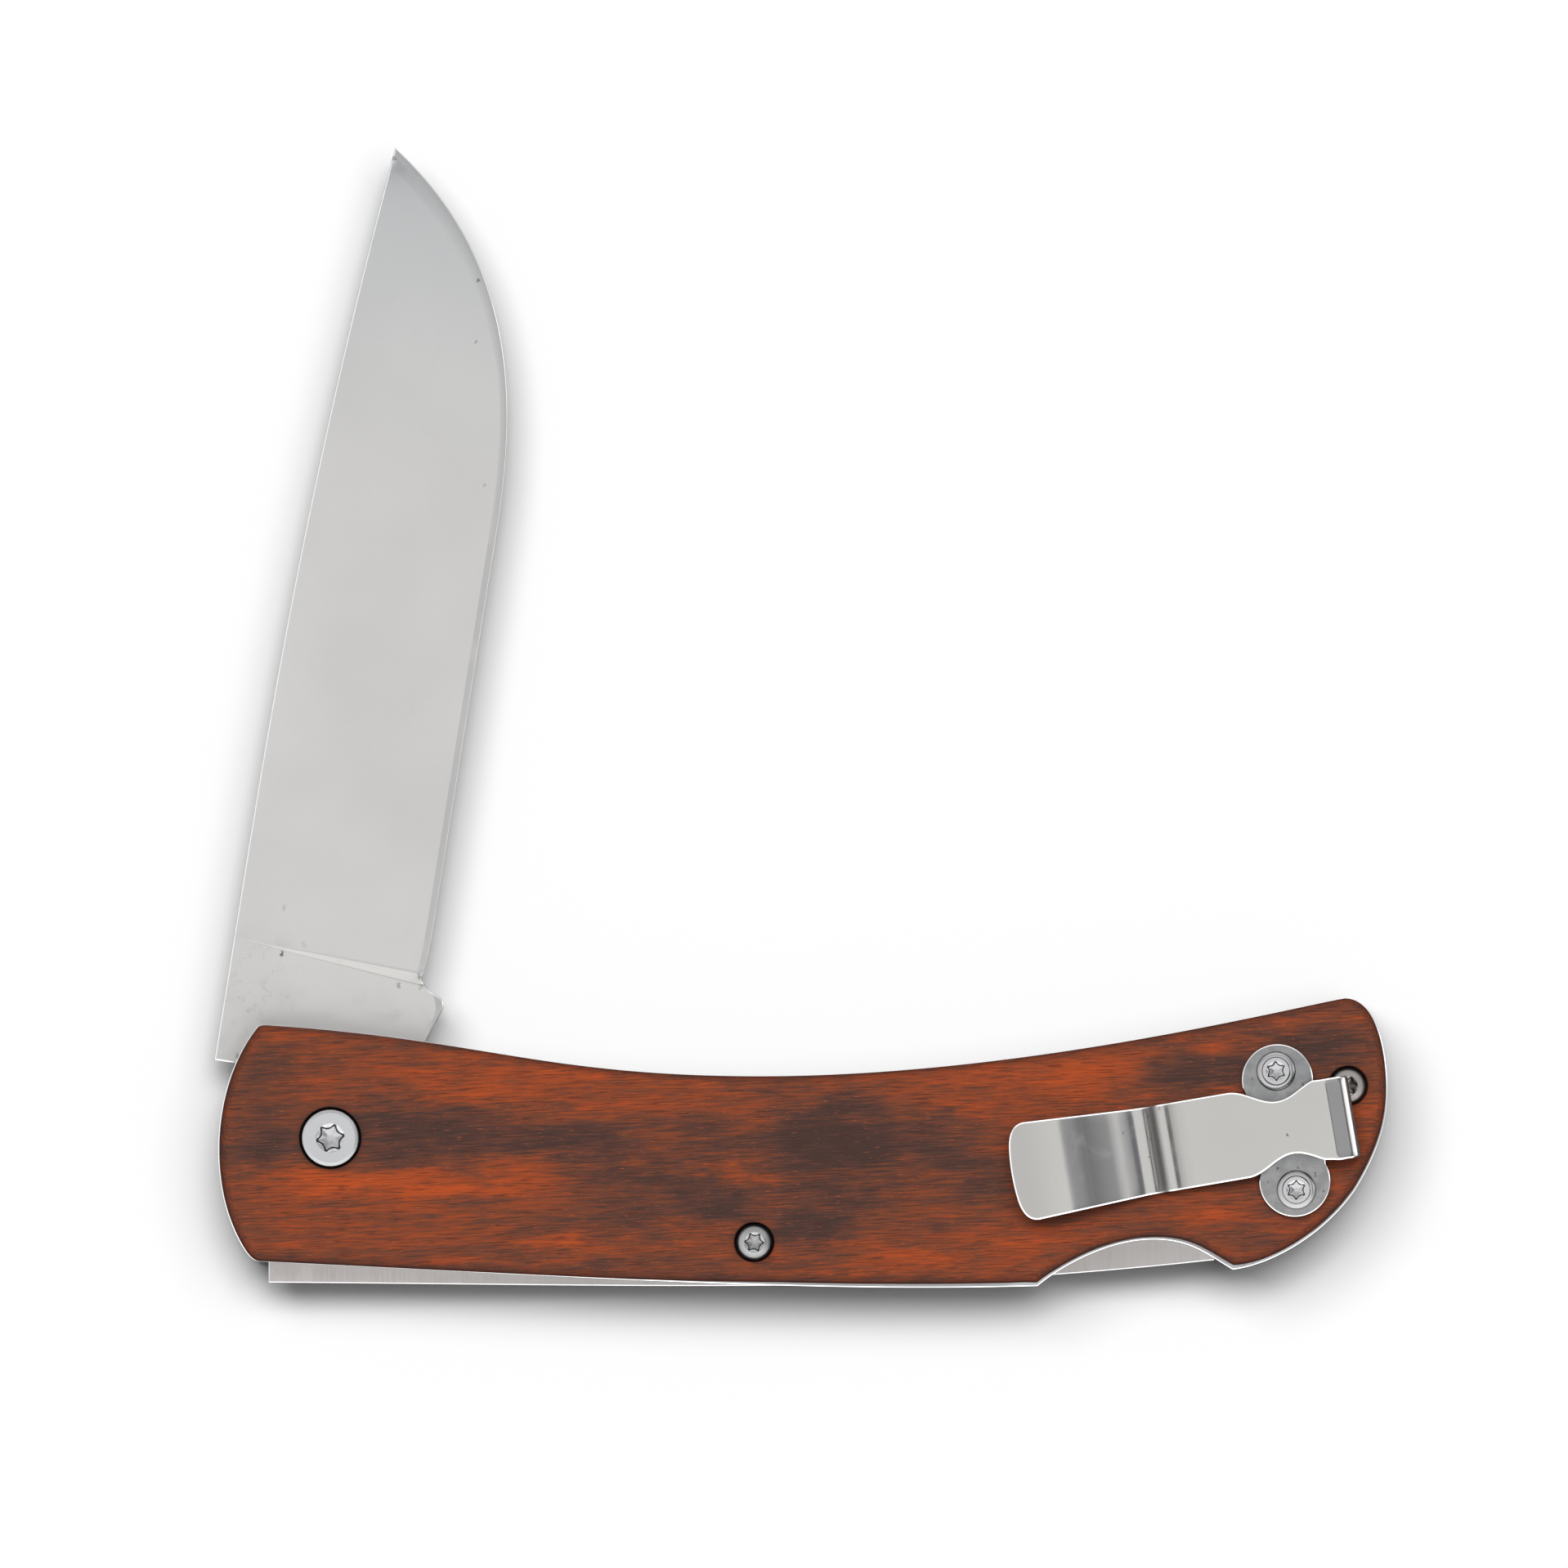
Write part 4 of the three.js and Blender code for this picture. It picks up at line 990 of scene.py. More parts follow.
def spacer_outline():
    """The butt's outline, with the ways of the closed blade and of the spring's root cut in."""
    butt = clipped(handle, SPACER_FRONT)
    edge = blade_edge()
    point = edge[edge[:, 0] > POINT_START]
    swept = outline(point, line((BLADE_REACH + TOUCH_GAP, FAR_SIDE), (POINT_START, FAR_SIDE)))
    pocket = inset(swept, -POCKET_GAP)
    shelf = LEAF_ROOT[0] - SPACER_WALL
    half = LEAF_THICKNESS / 2 + SEAT_GAP
    low, high = LEAF_ROOT[1] - half, LEAF_ROOT[1] + half
    slot_end = LEAF_ROOT[0] + LEAF_ROOT_LENGTH + SEAT_GAP
    way = pocket[(pocket[:, 0] > shelf) & (pocket[:, 1] < FAR_SIDE - 10)]
    way = way[np.argsort(way[:, 0])]
    wall = max(way[:, 0])
    way = way[:int(np.argmax(way[:, 0] > wall - 1e-6)) + 1]
    top = butt[butt[:, 1] > 8]
    top_at_wall = height_at(top, wall)
    way = way[way[:, 1] < height_at(top[top[:, 0] < wall], wall) - 0.05]
    over_blade = (butt[:, 1] > 0) & (butt[:, 0] < wall)
    over_shelf = (butt[:, 0] < SPACER_FRONT + LEAST_STEP) & (butt[:, 1] > low - 3)
    rim = butt[~over_blade & ~over_shelf]
    start = int(np.argmin(rim[:, 0] + (rim[:, 1] > 0) * 100))
    rim = np.roll(rim, -start, axis=0)
    shelf_high = height_at(way, shelf)
    return outline(
        rim,
        [(wall, top_at_wall)],
        way[::-1],
        [(shelf, shelf_high), (shelf, high), (slot_end, high), (slot_end, low), (SPACER_FRONT, low)],
    )


lock_spring = plate(leaf_outline(), chamfered(BLADE_LOW, BLADE_HIGH, 0.1, 0.1))
keep(lock_spring.build("leaf_spring", spring_steel), "handle", "spring_steel", "lock_spring")

rear_spacer = plate(spacer_outline(), chamfered(CHANNEL_LOW, CHANNEL_HIGH, 0.06, 0.06), [
    (REAR_BARREL, bored(SLEEVE_BORE, CHANNEL_LOW, CHANNEL_HIGH)),
    (DOWEL, bored(DOWEL_BORE, CHANNEL_LOW, CHANNEL_HIGH)),
])
keep(rear_spacer.build("butt_spacer", liner_steel), "handle", "liner_steel", "rear_spacer")


# Lock bar

def bar_outline():
    back = spine[(spine[:, 0] > -4.5) & (spine[:, 0] < BAR_REAR - 0.5)] - (0, BAR_PROUD)

    def under(x):
        return (x, height_at(spine, x) + BAR_HEIGHT)

    def at_open(u, w):
        return tuple(turned([(u, w)], BLADE_TRAVEL)[0])

    lug_back = at_open(LUG_FRONT, SPINE_DROP)
    boss = (LOCK_PIN[0], LOCK_PIN[1] + BOSS_RADIUS)
    side = BOSS_RADIUS + 2.2
    over_tang = -TANG_RADIUS - TOUCH_GAP
    end = height_at(spine, BAR_REAR)
    return outline(
        [at_open(LUG_FRONT, LUG_DEPTH), (lug_back[0], height_at(spine, lug_back[0]) - BAR_PROUD)],
        back,
        [(BAR_REAR, end - BAR_PROUD), (BAR_REAR, end + BAR_HEIGHT - 0.9), under(BAR_REAR - 1)],
        [under(x) for x in np.arange(BAR_REAR - 2, LOCK_PIN[0] + side, -1.0)],
        bend(under(LOCK_PIN[0] + side), (boss[0] + BOSS_RADIUS, boss[1]), boss, 16),
        bend(boss, (boss[0] - BOSS_RADIUS, boss[1]), under(LOCK_PIN[0] - side), 16),
        [under(LOCK_PIN[0] - side - 6), (16.5, -9.2), (10.5, over_tang - 0.3), (1.5, over_tang - 0.1)],
        [(-LUG_REAR - 0.2, over_tang - 0.1), at_open(LUG_REAR, LUG_DEPTH)],
    )


raised_bar = turned(bar_outline(), BAR_RAISE, LOCK_PIN)
lock_bar = plate(raised_bar, chamfered(BLADE_LOW, BLADE_HIGH, 0.1, 0.1), [
    (LOCK_PIN, bored(SLEEVE_BORE, BLADE_LOW, BLADE_HIGH)),
])
keep(lock_bar.build("rocking_lock_bar", bar_steel), "lock_bar", "lock_steel", "lock_bar")


# Blade, drawn closed and then turned to its place

EDGE_EASE = 0.15
KEEN_EASE = 0.07
KEEN_HALF = 0.09
SHOULDER_WIDTH = 0.66
KICK_CENTRE = np.array((13.9, -5.9))
KICK_RADIUS = 2.3
KICK_SLOPE = 0.28
PLUNGE_PLACE = (17.33, 6.9)
RAMP_RUN = 0.85
RAMP_KNEE = 0.75


def plunge_start(w):
    """Where the flat tang ends, at one height on the blade."""
    place, height = PLUNGE_PLACE
    return place + (w - height) * np.where(w > height, 0.11, 0.091)


def half_thickness(points, edge):
    """Half of the blade's thickness over its plan."""
    u, w = points[:, 0], points[:, 1]
    half = BLADE_THICKNESS / 2
    back = blade_spine_at(u)
    spine_half = half * (0.35 + 0.65 * np.clip((BLADE_REACH - u) / 60 + 0.15, 0, 1))
    taper = np.clip((BLADE_REACH - u) / 40, 0.25, 1)
    shoulder_half = 0.1 + 0.21 * taper
    rim = nearest(points, edge)[1]
    past_shoulder = np.maximum(rim - SHOULDER_WIDTH, 0)
    share = past_shoulder / np.maximum(past_shoulder + np.maximum(back - w, 0), 0.01)
    ground = shoulder_half + (spine_half - shoulder_half) * share
    bevel = np.clip(rim / SHOULDER_WIDTH, 0, 1)
    honed = KEEN_HALF + (np.minimum(shoulder_half, ground) - KEEN_HALF) * bevel
    ground = np.where(rim < SHOULDER_WIDTH, honed, ground)
    depth = half - ground
    run = (u - plunge_start(w)) / (depth * RAMP_RUN + 0.02)
    fade = np.clip((run - RAMP_KNEE) / 0.5, 0, 1)
    lip = np.clip(run / 0.06, 0, 1) * 0.15
    late = RAMP_KNEE + (1 - RAMP_KNEE) * (1 - (1 - fade) ** 2)
    ramp = np.where(run < RAMP_KNEE, lip + np.maximum(run, 0) * 0.8, late)
    past = np.linalg.norm(points - KICK_CENTRE, axis=1) - KICK_RADIUS
    at_kick = np.clip((u - 11.8) / 1.0, 0, 1) * (u < 16.4) * (w < -6.2)
    return half - depth * ramp - np.clip(past, 0, 1.2) * KICK_SLOPE * at_kick


def bevel_band(u):
    """How wide the honed band by the keen edge is: wider towards the tip."""
    return SHOULDER_WIDTH + 0.9 * np.clip((np.asarray(u, float) - 76) / 16, 0, 1)


def blade_outline(edge):
    notch_front, notch_rear, floor = LUG_FRONT + 0.15, LUG_REAR - TOUCH_GAP, LUG_DEPTH - TOUCH_GAP
    start = math.degrees(math.atan2(math.sqrt(TANG_RADIUS ** 2 - notch_rear ** 2), notch_rear))
    reach = np.linspace(SPINE_STRAIGHT, BLADE_REACH, 180)
    back = np.column_stack((reach, blade_spine_at(reach)))[::-1]
    kick = np.vstack((
        bezier((10.98, -7.74), (12.4, -8.25), (13.3, -8.6), (14.0, -8.83), 12),
        bezier((14.0, -8.83), (14.6, -9.02), (15.0, -8.85), (15.2, -8.55), 12),
        bezier((15.2, -8.55), (15.55, -8.0), (15.55, -7.35), (16.1, -6.9), 12),
        bezier((16.1, -6.9), (16.5, -6.6), (16.8, -6.3), HEEL, 8),
    ))
    return outline(
        back, [(notch_front, BLADE_BACK), (notch_front, floor), (notch_rear, floor)],
        arc(PIVOT, TANG_RADIUS, start, 290, 80), kick, edge[1:], step=0.4,
    )


def blade_grid(edge):
    """Points of the ground faces: rows up the blade, close rows at the plunge, the bevel and the kick."""
    grid = []
    for u in np.arange(19.6, BLADE_REACH - 1.2, 0.8):
        bottom = float(np.interp(u, edge[:, 0], edge[:, 1]))
        top = float(blade_spine_at(u))
        grid.extend((u, w) for w in np.linspace(bottom + SHOULDER_WIDTH * 1.4, top - 0.3, 14))
    for w in np.arange(-6.2, BLADE_BACK - 0.15, 0.22):
        share_up = (BLADE_BACK - w) / (BLADE_BACK + BLADE_DROP - SHOULDER_WIDTH)
        ramp = RAMP_RUN * 1.15 * np.clip(share_up, 0.02, 1)
        start = float(plunge_start(np.array(w)))
        grid.extend((start + run, w) for run in (-0.5, -0.03, 0.0))
        grid.extend((start + ramp * share, w) for share in np.linspace(0.06, 1.35, 15))
        grid.append((max(start + ramp * 1.35, 19.2) - 0.1, w))
    run = outline(edge, line((BLADE_REACH, FAR_SIDE), (HEEL[0], FAR_SIDE)), step=0.5)
    band = bevel_band(run[:, 0])
    shoulder = np.vstack([inset(run, width) for width in (SHOULDER_WIDTH, band, band + 0.06)])
    shoulder = shoulder[(shoulder[:, 1] < 12) & (shoulder[:, 0] > 17.4)]
    kick = np.vstack([arc(KICK_CENTRE, KICK_RADIUS + out, 222, 322, 20) for out in (0.0, 0.15, 0.3, 0.45)])
    return np.vstack((grid, shoulder, kick))


# The rim's rings on each face, from the face outwards: shares of the ease inwards and down, share of edge
RIM_STEPS = (
    (1.0, 0.0, 0.0), (0.9, 0.03, 1.0), (0.75, 0.13, 1.0),
    (0.15, 0.6, 1.0), (0.03, 0.75, 1.0), (0.0, 0.95, 0.4),
)


def make_blade():
    edge = blade_edge()
    loop = blade_outline(edge)
    keen = (nearest(loop, edge)[1] < 0.02) & (loop[:, 0] > 17.0)
    ease = np.where(keen, KEEN_EASE, EDGE_EASE)
    rim = inset(loop, ease)
    extra = blade_grid(edge)
    extra = extra[inside(extra, [rim]) & (nearest(extra, closed(rim))[1] > 0.06)]
    extra = thinned(extra, 0.02)
    shell = Shell()
    tops, lows = [], []
    half = half_thickness(rim, edge)
    for draw, drop, mark in RIM_STEPS:
        at = inset(loop, ease * draw)
        tops.append(shell.ring(at, BLADE_MIDDLE + half - drop * ease, mark))
        lows.append(shell.ring(at, BLADE_MIDDLE - half + drop * ease, mark))
    for inner, outer in zip(tops, tops[1:]):
        shell.wall(outer, inner)
    for inner, outer in zip(lows, lows[1:]):
        shell.wall(inner, outer)
    shell.wall(lows[-1], tops[-1])
    bore = circle(PIVOT, PIVOT_BORE, 64)
    bores = [shell.ring(bore, z) for z in (BLADE_LOW, BLADE_HIGH)]
    shell.wall(bores[1], bores[0])
    half = half_thickness(extra, edge)
    shell.cap([tops[0], bores[1]], up=True, within=shell.ring(extra, BLADE_MIDDLE + half))
    shell.cap([lows[0], bores[0]], up=False, within=shell.ring(extra, BLADE_MIDDLE - half))

    # Painted shade on the honed bevel: deeper and wider towards the tip, fading across the band
    plan = np.array(shell.points)[:, :2]
    across = nearest(plan, edge)[1] / (bevel_band(plan[:, 0]) + 0.02)
    fading = 1 - across * np.interp(plan[:, 0], (60, 84), (0.2, 0.75))
    band = np.interp(plan[:, 0], (50, 62, 86, 92), (0.0, 0.09, 0.17, 0.2)) * fading * (across < 1)
    band[np.concatenate(tops[1:] + lows[1:])] = 0.0

    def opened(points):
        return np.column_stack((turned(points[:, :2], BLADE_OPENING), points[:, 2]))

    return shell.build("ground_blade", blade_steel, shape=opened, sharp=14.0, extra={"shade": band})


def thinned(points, spacing):
    """The points without those closer together than the spacing."""
    cells = np.round(points / spacing).astype(int)
    first = np.unique(cells, axis=0, return_index=True)[1]
    return points[np.sort(first)]


keep(make_blade(), "blade", "blade_steel", "blade")


# Pocket clip: a flat pattern with rounded edges, bent along its middle line

CLIP_FLARE = 0.55
CLIP_WAIST = 1.62
WAIST_PLACE_ON_CLIP = 0.3 - CLIP_SCREW_INSET
WAIST_HALF_LENGTH = 4.7
CLIP_BASE = 11.0


def clip_half(x, shift=0.0):
    """Half of the tongue's width at each place. The shift moves the waist towards the tip."""
    flare = CLIP_FLARE * np.clip((-x - 21) / (CLIP_LENGTH - 23), 0, 1)
    share = np.abs(x - WAIST_PLACE_ON_CLIP + shift) / WAIST_HALF_LENGTH
    dip = np.where(share < 1, CLIP_WAIST * np.cos(np.minimum(share, 1) * math.pi / 2) ** 2, 0)
    base = np.interp(x, (-3.6, -2.8), (CLIP_HALF_WIDTH, FOLD_HALF_WIDTH))
    return base + flare - dip


# Places on the tongue are measured from the fold. The lean is the slope towards the fold.
CLIP_TOUCH = 19.8
GROOVES_START = 17.5
CLIP_LEAN = (
    (17.5, -0.15), (17.75, 0.1), (17.9, 0.36), (18.1, 0.42), (18.25, 0.2), (18.4, 0.0), (18.7, -0.1),
    (18.9, -0.35), (19.1, -0.7), (19.4, -0.9), (19.65, -0.4), (19.8, 0.1), (20.0, 0.5), (20.25, 0.6),
    (20.45, 0.1), (20.6, -0.05), (21.1, 0.0), (21.3, 0.2), (21.5, 0.31), (21.8, 0.31), (22.0, 0.262),
    (22.4, 0.244), (22.8, 0.226), (23.1, 0.2), (23.5, 0.226), (23.8, 0.243), (24.0, 0.262), (24.4, 0.266),
    (25.2, 0.275), (26.0, 0.288), (26.5, 0.297), (27.0, 0.28), (27.4, 0.268), (28.2, 0.261), (28.5, 0.245),
    (28.8, 0.2), (29.2, 0.04), (35.0, 0.03),
)
# Painted shade and reflection tones on the tongue, in and beside the grooves and in a thin line on the tip's
# bend, as shares of dark
CLIP_GROOVE_SHADE = (
    (16.4, 0.0), (17.0, 0.08), (17.4, 0.22), (17.75, 0.38), (18.1, 0.3), (18.35, 0.0), (18.75, 0.0),
    (18.95, 0.3), (19.15, 0.7), (19.4, 0.94), (19.65, 0.92), (19.95, 0.62), (20.2, 0.4), (20.5, 0.05),
    (20.7, 0.0), (26.2, 0.0), (26.45, 0.3), (26.75, 0.0),
)


def clip_line():
    """The strip's middle line from the ears round the fold to the tip, and where the tongue starts."""
    half = CLIP_THICKNESS / 2
    touch = half + SEAT_GAP
    top = 2 * FOLD_RADIUS - half
    facet, brow = math.radians(14.8), math.radians(31)
    tight, brow_width = half, 0.24
    brow_start = -half - tight * (1 - math.sin(brow)) - brow_width
    brow_top = top - (FACET_START + brow_start) * math.tan(facet)
    centre = (-half - tight, brow_top - brow_width * math.tan(brow) - tight * math.cos(brow))
    base = line((-CLIP_BASE, half), (-6.0, half), (-FOLD_RADIUS, half))
    low = arc((-FOLD_RADIUS, FOLD_RADIUS), FOLD_RADIUS - half, -90, 0, 24)
    high = np.vstack((arc(centre, tight, 0, 90 - math.degrees(brow), 16), (brow_start, brow_top)))
    step = 0.05
    xs = np.arange(-FACET_START, -35.0, -step)
    rise = np.interp(-xs, *np.array(CLIP_LEAN).T)
    climb = np.cumsum(rise) * step
    climb += touch - np.interp(CLIP_TOUCH, -xs, climb)
    low_end = np.interp(GROOVES_START, -xs, climb)
    free = line((FACET_START, top), (8.0, 2.6), (15.4, low_end + 0.36), (GROOVES_START, low_end))
    heights = np.where(-xs < GROOVES_START, np.interp(-xs, *free.T), climb)
    spread = np.hanning(9)
    padded = np.concatenate((np.full(4, heights[0]), heights, np.full(4, heights[-1])))
    smooth = np.convolve(padded, spread / spread.sum(), "valid")
    return np.vstack((base, low[1:], high, np.column_stack((xs, smooth)))), 2 + len(low) + len(high)


def make_clip():
    path, turn = clip_line()
    reach = np.concatenate(([0], np.cumsum(np.linalg.norm(np.diff(path, axis=0), axis=1))))
    fold_start = reach[2]
    tongue = np.arange(len(path)) >= turn

    def along(x):
        """Where a place on the tongue lies along the strip."""
        return np.interp(-np.asarray(x, float), -path[tongue, 0], reach[tongue])

    tip = CLIP_LENGTH
    nose_start = 1.9 - tip
    xs = np.concatenate((np.arange(-FACET_START - 0.05, -13.0, -0.3), np.arange(-13.0, nose_start, -0.45)))
    side = np.column_stack((along(xs), clip_half(xs)))
    upper_side = np.column_stack((along(xs), clip_half(xs, WAIST_SHIFT)))
    nose = bend((nose_start, clip_half(np.array(nose_start))), (0.35 - tip, 4.75), (0.12 - tip, 2.2), 14)
    nose = np.vstack((nose, bezier((0.12 - tip, 2.2), (0.02 - tip, 1.4), (-tip, 0.6), (-tip, 0.0), 8)))
    nose[:, 0] = along(nose[:, 0])
    arc_part = reach[(reach > fold_start) & ~tongue]
    middle = (arc_part - arc_part.mean()) / (arc_part[-1] - arc_part[0])
    fold = np.column_stack((arc_part, FOLD_HALF_WIDTH - 0.3 * np.exp(-(middle / 0.22) ** 2)))
    base_xs = np.arange(-3.5, -2.0, 0.3)
    base = np.column_stack((base_xs + CLIP_BASE, clip_half(base_xs)))
    ear = arc((CLIP_BASE - CLIP_SCREW_INSET, EAR_OFFSET), EAR_RADIUS, 226.4, -20, 70)
    shift = np.array((0.0, TONGUE_SHIFT))
    upper = np.vstack((ear, base + shift, fold + shift, upper_side + shift, nose + shift))
    lower = np.vstack((ear, base - shift, fold - shift, side - shift, nose - shift)) * (1, -1)
    loop = outline(upper, lower[::-1], step=0.3)
    fold_end, grooves, sweep, flat_tip = fold_start + 5.7, along(-17.0), along(-22.4), along(-29.6)
    rows = np.concatenate((
        np.arange(0.9, fold_start, 1.0),
        np.arange(fold_start, fold_end, 0.09),
        np.arange(fold_end + 0.1, grooves, 1.0),
        np.arange(grooves, sweep, 0.08),
        np.arange(sweep, flat_tip, 0.12),
        np.arange(flat_tip, along(-33.5), 0.8),
    ))
    grid = np.array([(s, v) for s in rows for v in np.arange(-9.0, 9.1, 0.75)])
    grid = grid[inside(grid, [inset(loop, 0.3)]) & (nearest(grid, closed(loop))[1] > 0.32)]
    bores = [(CLIP_BASE - CLIP_SCREW_INSET, sign * CLIP_SCREW_OFFSET) for sign in (1, -1)]
    for centre in bores:
        grid = grid[np.linalg.norm(grid - centre, axis=1) > 1.3]
    half = CLIP_THICKNESS / 2
    holes = [(centre, bored(SMALL_SHANK + SEAT_GAP, -half, half)) for centre in bores]
    shell = plate(loop, chamfered(-half, half, 0.1, 0.15), holes, within=grid)
    run = np.gradient(path, reach, axis=0)
    run /= np.linalg.norm(run, axis=1)[:, None]

    def folded(points):
        s, v, t = points.T
        lean = np.interp(s, reach, run[:, 1]) * (s < reach[turn])
        rise = np.where(s < reach[turn], -np.interp(s, reach, run[:, 0]), 1.0)
        x = np.interp(s, reach, path[:, 0]) + t * lean
        z = np.interp(s, reach, path[:, 1]) + t * rise
        spun = turned(np.column_stack((x, v)), CLIP_ANGLE) + CLIP_ORIGIN
        return np.column_stack((spun, z + FRONT_SCALE_HIGH))

    strip = np.array(shell.points)[:, 0]
    ears = (strip < fold_start - 0.2).astype(float)
    # Painted shade along the tongue, kept as the shade mark
    groove_shade = np.interp(-np.interp(strip, reach, path[:, 0]), *np.array(CLIP_GROOVE_SHADE).T) * (strip > reach[turn])
    marks = {"ear": ears, "shade": groove_shade}
    return shell.build("bent_pocket_clip", clip_steel, shape=folded, flip=True, sharp=40.0, extra=marks)


keep(make_clip(), "handle", "clip_steel", "pocket_clip")


# Turned pieces: one tree for each kind, its sizes set for each piece

class Size:
    """A number in a geometry tree, written as plain arithmetic."""

    graph = None

    def __init__(self, value):
        self.value = value

    def combined(self, operation, other):
        other = other.value if isinstance(other, Size) else other
        return Size(Size.graph.math(operation, self.value, other))

    def __add__(self, other):
        return self.combined("ADD", other)

    def __sub__(self, other):
        return self.combined("SUBTRACT", other)

    def __mul__(self, other):
        return self.combined("MULTIPLY", other)

    __rmul__ = __mul__


def plain(value):
    """What a node socket takes: the socket behind a size, or a number."""
    return value.value if isinstance(value, Size) else float(value)


def turned_tree(name, sizes, stations, segments):
    """A tree that turns a profile about Z on each point of its input.

    The stations function takes the named sizes and gives (radius, height, lobe depth, shade) rows.
    """
    inputs = [("Geometry", "NodeSocketGeometry", None), *((label, FLOAT, value) for label, value in sizes)]
    inputs += [("Turn", "NodeSocketRotation", None), ("Material", "NodeSocketMaterial", None)]
    g, given, out = new_group(name, inputs, [("Geometry", "NodeSocketGeometry")], "GeometryNodeTree")
    g.tree.is_modifier = True
    Size.graph = g
    rows = stations(*(Size(given[label]) for label, value in sizes))
    grid = g.node("GeometryNodeMeshGrid", {"Vertices X": len(rows), "Vertices Y": segments + 1}).outputs[0]
    index = g.node("GeometryNodeInputIndex").outputs[0]
    ring = g.math("FLOOR", g.math("DIVIDE", index, segments + 1.0))
    angle = g.math("MULTIPLY", g.math("MODULO", index, segments + 1.0), 2 * math.pi / segments)
    pick = g.node("GeometryNodeIndexSwitch", data_type="VECTOR")
    while len(pick.index_switch_items) < len(rows):
        pick.index_switch_items.new()
    g.put(pick.inputs["Index"], ring)
    shade = g.node("GeometryNodeIndexSwitch", data_type="FLOAT")
    while len(shade.index_switch_items) < len(rows):
        shade.index_switch_items.new()
    g.put(shade.inputs["Index"], ring)
    for place, (reach, height, lobe, *tone) in enumerate(rows):
        parts = {0: plain(reach), 1: plain(height), 2: plain(lobe)}
        g.put(pick.inputs[place + 1], g.node("ShaderNodeCombineXYZ", parts).outputs[0])
        g.put(shade.inputs[place + 1], plain(tone[0]) if tone else 0.0)
    row = g.node("ShaderNodeSeparateXYZ", {0: pick.outputs[0]}).outputs
    lobe = g.math("POWER", g.math("ABSOLUTE", g.math("SINE", g.math("MULTIPLY", angle, 3.0))), 0.9)
    radius = g.math("MULTIPLY", row[0], g.math("SUBTRACT", 1.0, g.math("MULTIPLY", lobe, row[2])))
    x, y = (g.math("MULTIPLY", radius, g.math(kind, angle)) for kind in ("COSINE", "SINE"))
    place = g.node("ShaderNodeCombineXYZ", {0: x, 1: y, 2: row[1]}).outputs[0]

    def stored(geometry, label, value, kind, domain):
        inputs = {"Geometry": geometry, "Name": label, "Value": value}
        return g.node("GeometryNodeStoreNamedAttribute", inputs, data_type=kind, domain=domain).outputs[0]

    toned = stored(grid, "shade", shade.outputs[0], "FLOAT", "POINT")
    shaped = g.node("GeometryNodeSetPosition", {"Geometry": toned, "Position": place}).outputs[0]
    merged = g.node("GeometryNodeMergeByDistance", {"Geometry": shaped, "Distance": 1e-6}).outputs[0]
    fold = g.node("GeometryNodeInputMeshEdgeAngle").outputs[0]
    angles = {0: fold, 1: math.radians(32)}
    crease = g.node("FunctionNodeCompare", angles, operation="GREATER_THAN").outputs[0]
    marked = stored(merged, "sharp_edge", crease, "BOOLEAN", "EDGE")
    copies = g.node("GeometryNodeInstanceOnPoints", {
        "Points": given["Geometry"], "Instance": marked, "Rotation": given["Turn"],
    }).outputs[0]
    solid = g.node("GeometryNodeRealizeInstances", {"Geometry": copies}).outputs[0]
    finish = {"Geometry": solid, "Material": given["Material"]}
    g.put(out.inputs[0], g.node("GeometryNodeSetMaterial", finish).outputs[0])
    return g.tree


def turned_piece(name, tree, centre, height, sizes, material, turn=(0.0, 0.0, 0.0)):
    """Runs the tree on one point and keeps the result as a plain mesh."""
    mesh = bpy.data.meshes.new(name)
    mesh.from_pydata([(centre[0] * MM, centre[1] * MM, height * MM)], [], [])
    piece = bpy.data.objects.new(name, mesh)
    bpy.context.scene.collection.objects.link(piece)
    modifier = piece.modifiers.new("turned", "NODES")
    modifier.node_group = tree
    sockets = {item.name: item.identifier for item in tree.interface.items_tree if item.in_out == "INPUT"}
    for label, value in sizes.items():
        modifier[sockets[label]] = value if label.endswith("Shade") else value * MM
    modifier[sockets["Turn"]] = turn
    modifier[sockets["Material"]] = material
    bpy.context.view_layer.update()
    made = bpy.data.meshes.new_from_object(piece.evaluated_get(bpy.context.evaluated_depsgraph_get()))
    piece.modifiers.remove(modifier)
    piece.data = made
    made.shade_smooth()
    return piece


LOBE_DEPTH = 0.29
# Turns from the rim up over the crown, with how much of the rim's painted shade each keeps
CROWN_STEPS = ((0, 1.0), (15, 0.97), (30, 0.9), (45, 0.7), (60, 0.42), (75, 0.18), (88, 0.04))


